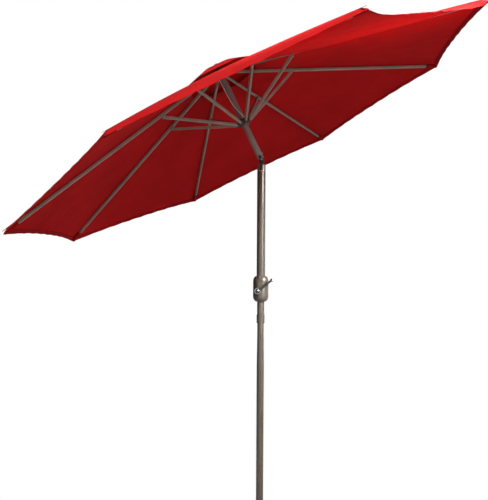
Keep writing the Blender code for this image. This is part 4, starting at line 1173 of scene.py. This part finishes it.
cap_points, cap_uv = cap_table()
cap_edge, _ = cap_table(rows=4, inner=CAP_RADIUS - CAP_HEM_WIDTH, lift=-0.0016)
for k in RIBS:
    cap = sheet_piece(f"vent_cap_gore_{k}", cap_points, cap_uv, cloth, k)
    thicken(cap)
    follow_fold(cap)
    # The vent's hem is in the hem cloth, whose deeper red is painted shade.
    edge = sheet_piece(f"vent_hem_{k}", cap_edge, strip_uv(cap_edge), painted_shade_hem_cloth, k)
    follow_fold(edge)
    if k == 1:
        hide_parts("vent_cap")
print(f"vent cap: {2 * CAP_RADIUS * 1000:.0f} mm corner to corner")

# %% [markdown]
# A low turned button closes the cap's middle. Its stem goes down into the mast's top.

# %% Top button
BUTTON_SEAT = CAP_TOP + 0.0014
button_profile = [
    (0.0, BUTTON_SEAT + 0.0060),
    (0.0060, BUTTON_SEAT + 0.0056),
    (0.0112, BUTTON_SEAT + 0.0042),
    (0.0150, BUTTON_SEAT + 0.0014),
    (0.0150, BUTTON_SEAT),
    (0.0045, BUTTON_SEAT - 0.0006),
    (0.0045, BUTTON_SEAT - 0.0050),
    (0.0, BUTTON_SEAT - 0.0050),
]
button_turned = turned(button_profile[::-1], HUB, MAST_UP, MAST_SIDE, 64, 0.0015)
button = piece("top_button", [button_turned], bronze, "mast")
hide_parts("finial")
print(f"top button {2000 * 0.0150:.0f} mm across")

# %% [markdown]
# ## The lifting cord
#
# The crank winds a white cord that lifts the runner. It comes out under the hub, lies along the mast and
# swings round to the runner's side. It is held at both ends, so it isn't a loose cord. A round section
# follows the path, and each ring is turned into the path's direction.


# %% Cord
def along_path(path, radius, steps=12):
    """A tube: each ring is square to the path, on axes from the path's direction and the mast's."""
    path = np.asarray(path)
    ahead = np.gradient(path, axis=0)
    ahead /= np.linalg.norm(ahead, axis=1, keepdims=True)
    side = np.cross(ahead, MAST_SIDE + 0.3 * FRONT)
    side /= np.linalg.norm(side, axis=1, keepdims=True)
    other = np.cross(ahead, side)
    turn = np.linspace(0, 2 * math.pi, steps, endpoint=False)[None, :, None]
    rings = path[:, None] + radius * (np.cos(turn) * side[:, None] + np.sin(turn) * other[:, None])
    return grid(ended(rings), wrap=True)


CORD_RADIUS = 0.0019
CORD_STOPS = [  # (metres above the hub, degrees round the mast)
    (-0.012, 196.0),
    (-0.060, 203.0),
    (-0.120, 212.0),
    (-0.175, 232.0),
    (-0.222, 268.0),
    (-0.256, 310.0),
    (-0.268, 322.0),
]
stop_at, stop_turn = np.array(CORD_STOPS).T
drop = np.linspace(stop_at[0], stop_at[-1], 90)
turn = np.radians(np.interp(drop, stop_at[::-1], stop_turn[::-1]))
window = np.hanning(15) / np.hanning(15).sum()
turn = np.convolve(np.pad(turn, 7, mode="edge"), window, "valid")
CORD_CLEAR = MAST_RADIUS + CORD_RADIUS + 0.0006
outwards = np.cos(turn)[:, None] * MAST_SIDE + np.sin(turn)[:, None] * BACK
path = HUB + CORD_CLEAR * outwards + drop[:, None] * MAST_UP
cord = piece("lift_cord_run", [along_path(path, CORD_RADIUS)], cord_white, None)
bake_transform(cord)
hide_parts("lift_cord")
print(f"cord shown for {np.linalg.norm(np.diff(path, axis=0), axis=1).sum():.3f} m")

# %% [markdown]
# ## Finishes on the pieces kept from the solid model
#
# Small hardware and inner pieces already have their right shape. They only need their finish, so the new
# material goes into each one's slot.

# %% Hardware keeps its shape
KEPT = {
    zinc: (
        "housing_screw_1",
        "housing_screw_2",
        "snap_spring",
        "crank_shaft",
        "brake_spring",
        "knob_stud",
        "tilt_pin",
        "tilt_button_spring",
        "rib_ring_wire",
        "pulley_axle",
    ),
    chrome: ("snap_button", "tilt_button"),
    black_nylon: ("tilt_core", "tilt_yoke", "pulley_block", "foot_plug"),
    brown_nylon: ("crank_bush", "cord_drum", "pulley"),
}
for material, names in KEPT.items():
    for name in names:
        for spot in frame["nodes"][name].material_slots:
            spot.material = material
print("kept from the solid model:", sum(len(names) for names in KEPT.values()), "pieces")

# %% [markdown]
# ## Studio
#
# The umbrella stands on a pale floor in front of a white sweep. The key lamp is large and high in front, on
# the right. Two softer lamps stand lower, one on each side. A small lamp close to the pole draws the
# highlight down it, and another over the slack gore shines through its cloth. The surroundings that light
# and reflect are darker on the left, which gives metal its dark side, while the camera itself sees plain
# white.

# %% Floor and surroundings
floor_material, tree, shader = finish("studio_floor", Roughness=0.9)
shader.inputs["Base Color"].default_value = linear("#9a9a9a")
bright = add(tree, "ShaderNodeEmission", {"Color": (1, 1, 1, 1), "Strength": 1.0})
eye = add(tree, "ShaderNodeLightPath")
mix = add(
    tree,
    "ShaderNodeMixShader",
    {0: eye.outputs["Is Camera Ray"], 1: shader.outputs[0], 2: bright.outputs[0]},
)
tree.links.new(mix.outputs[0], tree.nodes["Material Output"].inputs["Surface"])
FLOOR_REACH = 14.0
corners = FLOOR_REACH * np.array([(-1, -1, 0), (1, -1, 0), (-1, 1, 0), (1, 1, 0)])
floor_mesh = bpy.data.meshes.new("floor")
floor_mesh.from_pydata(corners, [], [(0, 1, 3, 2)])
floor_mesh.materials.append(floor_material)
floor = bpy.data.objects.new("floor", floor_mesh)
bpy.context.scene.collection.objects.link(floor)

world = bpy.data.worlds.new("studio")
bpy.context.scene.world = world
world.use_nodes = True
tree = world.node_tree
place = add(tree, "ShaderNodeTexCoord")
axes = add(tree, "ShaderNodeSeparateXYZ", {0: place.outputs["Generated"]})
lean = add(tree, "ShaderNodeMapRange", {0: axes.outputs["X"], 1: -0.55, 2: 0.75, 3: 0.06, 4: 0.70})
lit = tree.nodes["Background"]
lit.inputs["Color"].default_value = linear("#f4f6fa")
tree.links.new(lean.outputs[0], lit.inputs["Strength"])
seen = add(tree, "ShaderNodeBackground", {"Color": (1, 1, 1, 1), "Strength": 1.0})
eye = add(tree, "ShaderNodeLightPath")
mix = add(
    tree,
    "ShaderNodeMixShader",
    {0: eye.outputs["Is Camera Ray"], 1: lit.outputs[0], 2: seen.outputs[0]},
)
tree.links.new(mix.outputs[0], tree.nodes["World Output"].inputs["Surface"])


# %% Lamps
def lamp(name, place, target, size, power, colour="#ffffff", spread=180):
    """A round lamp in watts, aimed at a point: it tips by acos(z / distance) and turns by atan2(x, -y)."""
    data = bpy.data.lights.new(name, "AREA")
    data.shape, data.size, data.energy = "DISK", size, power
    data.color = linear(colour)[:3]
    data.spread = math.radians(spread)
    obj = bpy.data.objects.new(name, data)
    from_target = np.array(place) - np.array(target)
    yaw = math.atan2(from_target[0], -from_target[1])
    pitch = math.acos(from_target[2] / np.linalg.norm(from_target))
    obj.location = place
    obj.rotation_euler = (pitch, 0, yaw)
    obj.visible_camera = False
    bpy.context.scene.collection.objects.link(obj)


lamp("key", (1.6, -4.6, 5.8), (0, 0, 1.9), 1.6, 490, "#fff8f0")
lamp("strip_right", (2.6, -2.6, 1.2), (0, 0, 1.1), 0.9, 28)
lamp("pole_glint", (1.15, -1.0, 1.95), (0, 0, 0.95), 0.4, 8.0, spread=50)
lamp("fill", (-1.6, -4.6, 1.6), (0, 0, 1.8), 3.0, 26)
lamp("over_slack_gore", (1.10, -0.95, 3.55), (0.68, -0.66, 2.55), 0.4, 16, "#fff8f0", spread=48)

# %% [markdown]
# ## Camera
#
# The camera looks level from a little above the crank's housing, so that the whole underside shows, and its
# frame is shifted instead of tipped, which keeps the pole upright.

# %% Camera
FRAME_WIDTH, FRAME_HEIGHT = 488, 500
FOCAL, CENTRE_X, CENTRE_Y = 666.7, 280.4, 262.3
SENSOR_WIDTH = 36.0
CAMERA_FROM_PIN = np.array([0.103, -3.518, -0.541])
camera_data = bpy.data.cameras.new("camera")
camera_data.sensor_width = SENSOR_WIDTH
camera_data.lens = FOCAL * SENSOR_WIDTH / FRAME_HEIGHT
camera_data.shift_x = (FRAME_WIDTH / 2 - CENTRE_X) / FRAME_HEIGHT
camera_data.shift_y = (CENTRE_Y - FRAME_HEIGHT / 2) / FRAME_HEIGHT
camera = bpy.data.objects.new("camera", camera_data)
camera.location = (TILT_PIN + CAMERA_FROM_PIN).tolist()
camera.rotation_euler = (math.radians(90.0), -0.006, 0.0)
bpy.context.scene.collection.objects.link(camera)
bpy.context.scene.camera = camera
bpy.context.scene.view_settings.view_transform = "Standard"
print(f"lens {camera_data.lens:.1f} mm, camera at {np.round(camera.location, 3).tolist()}")
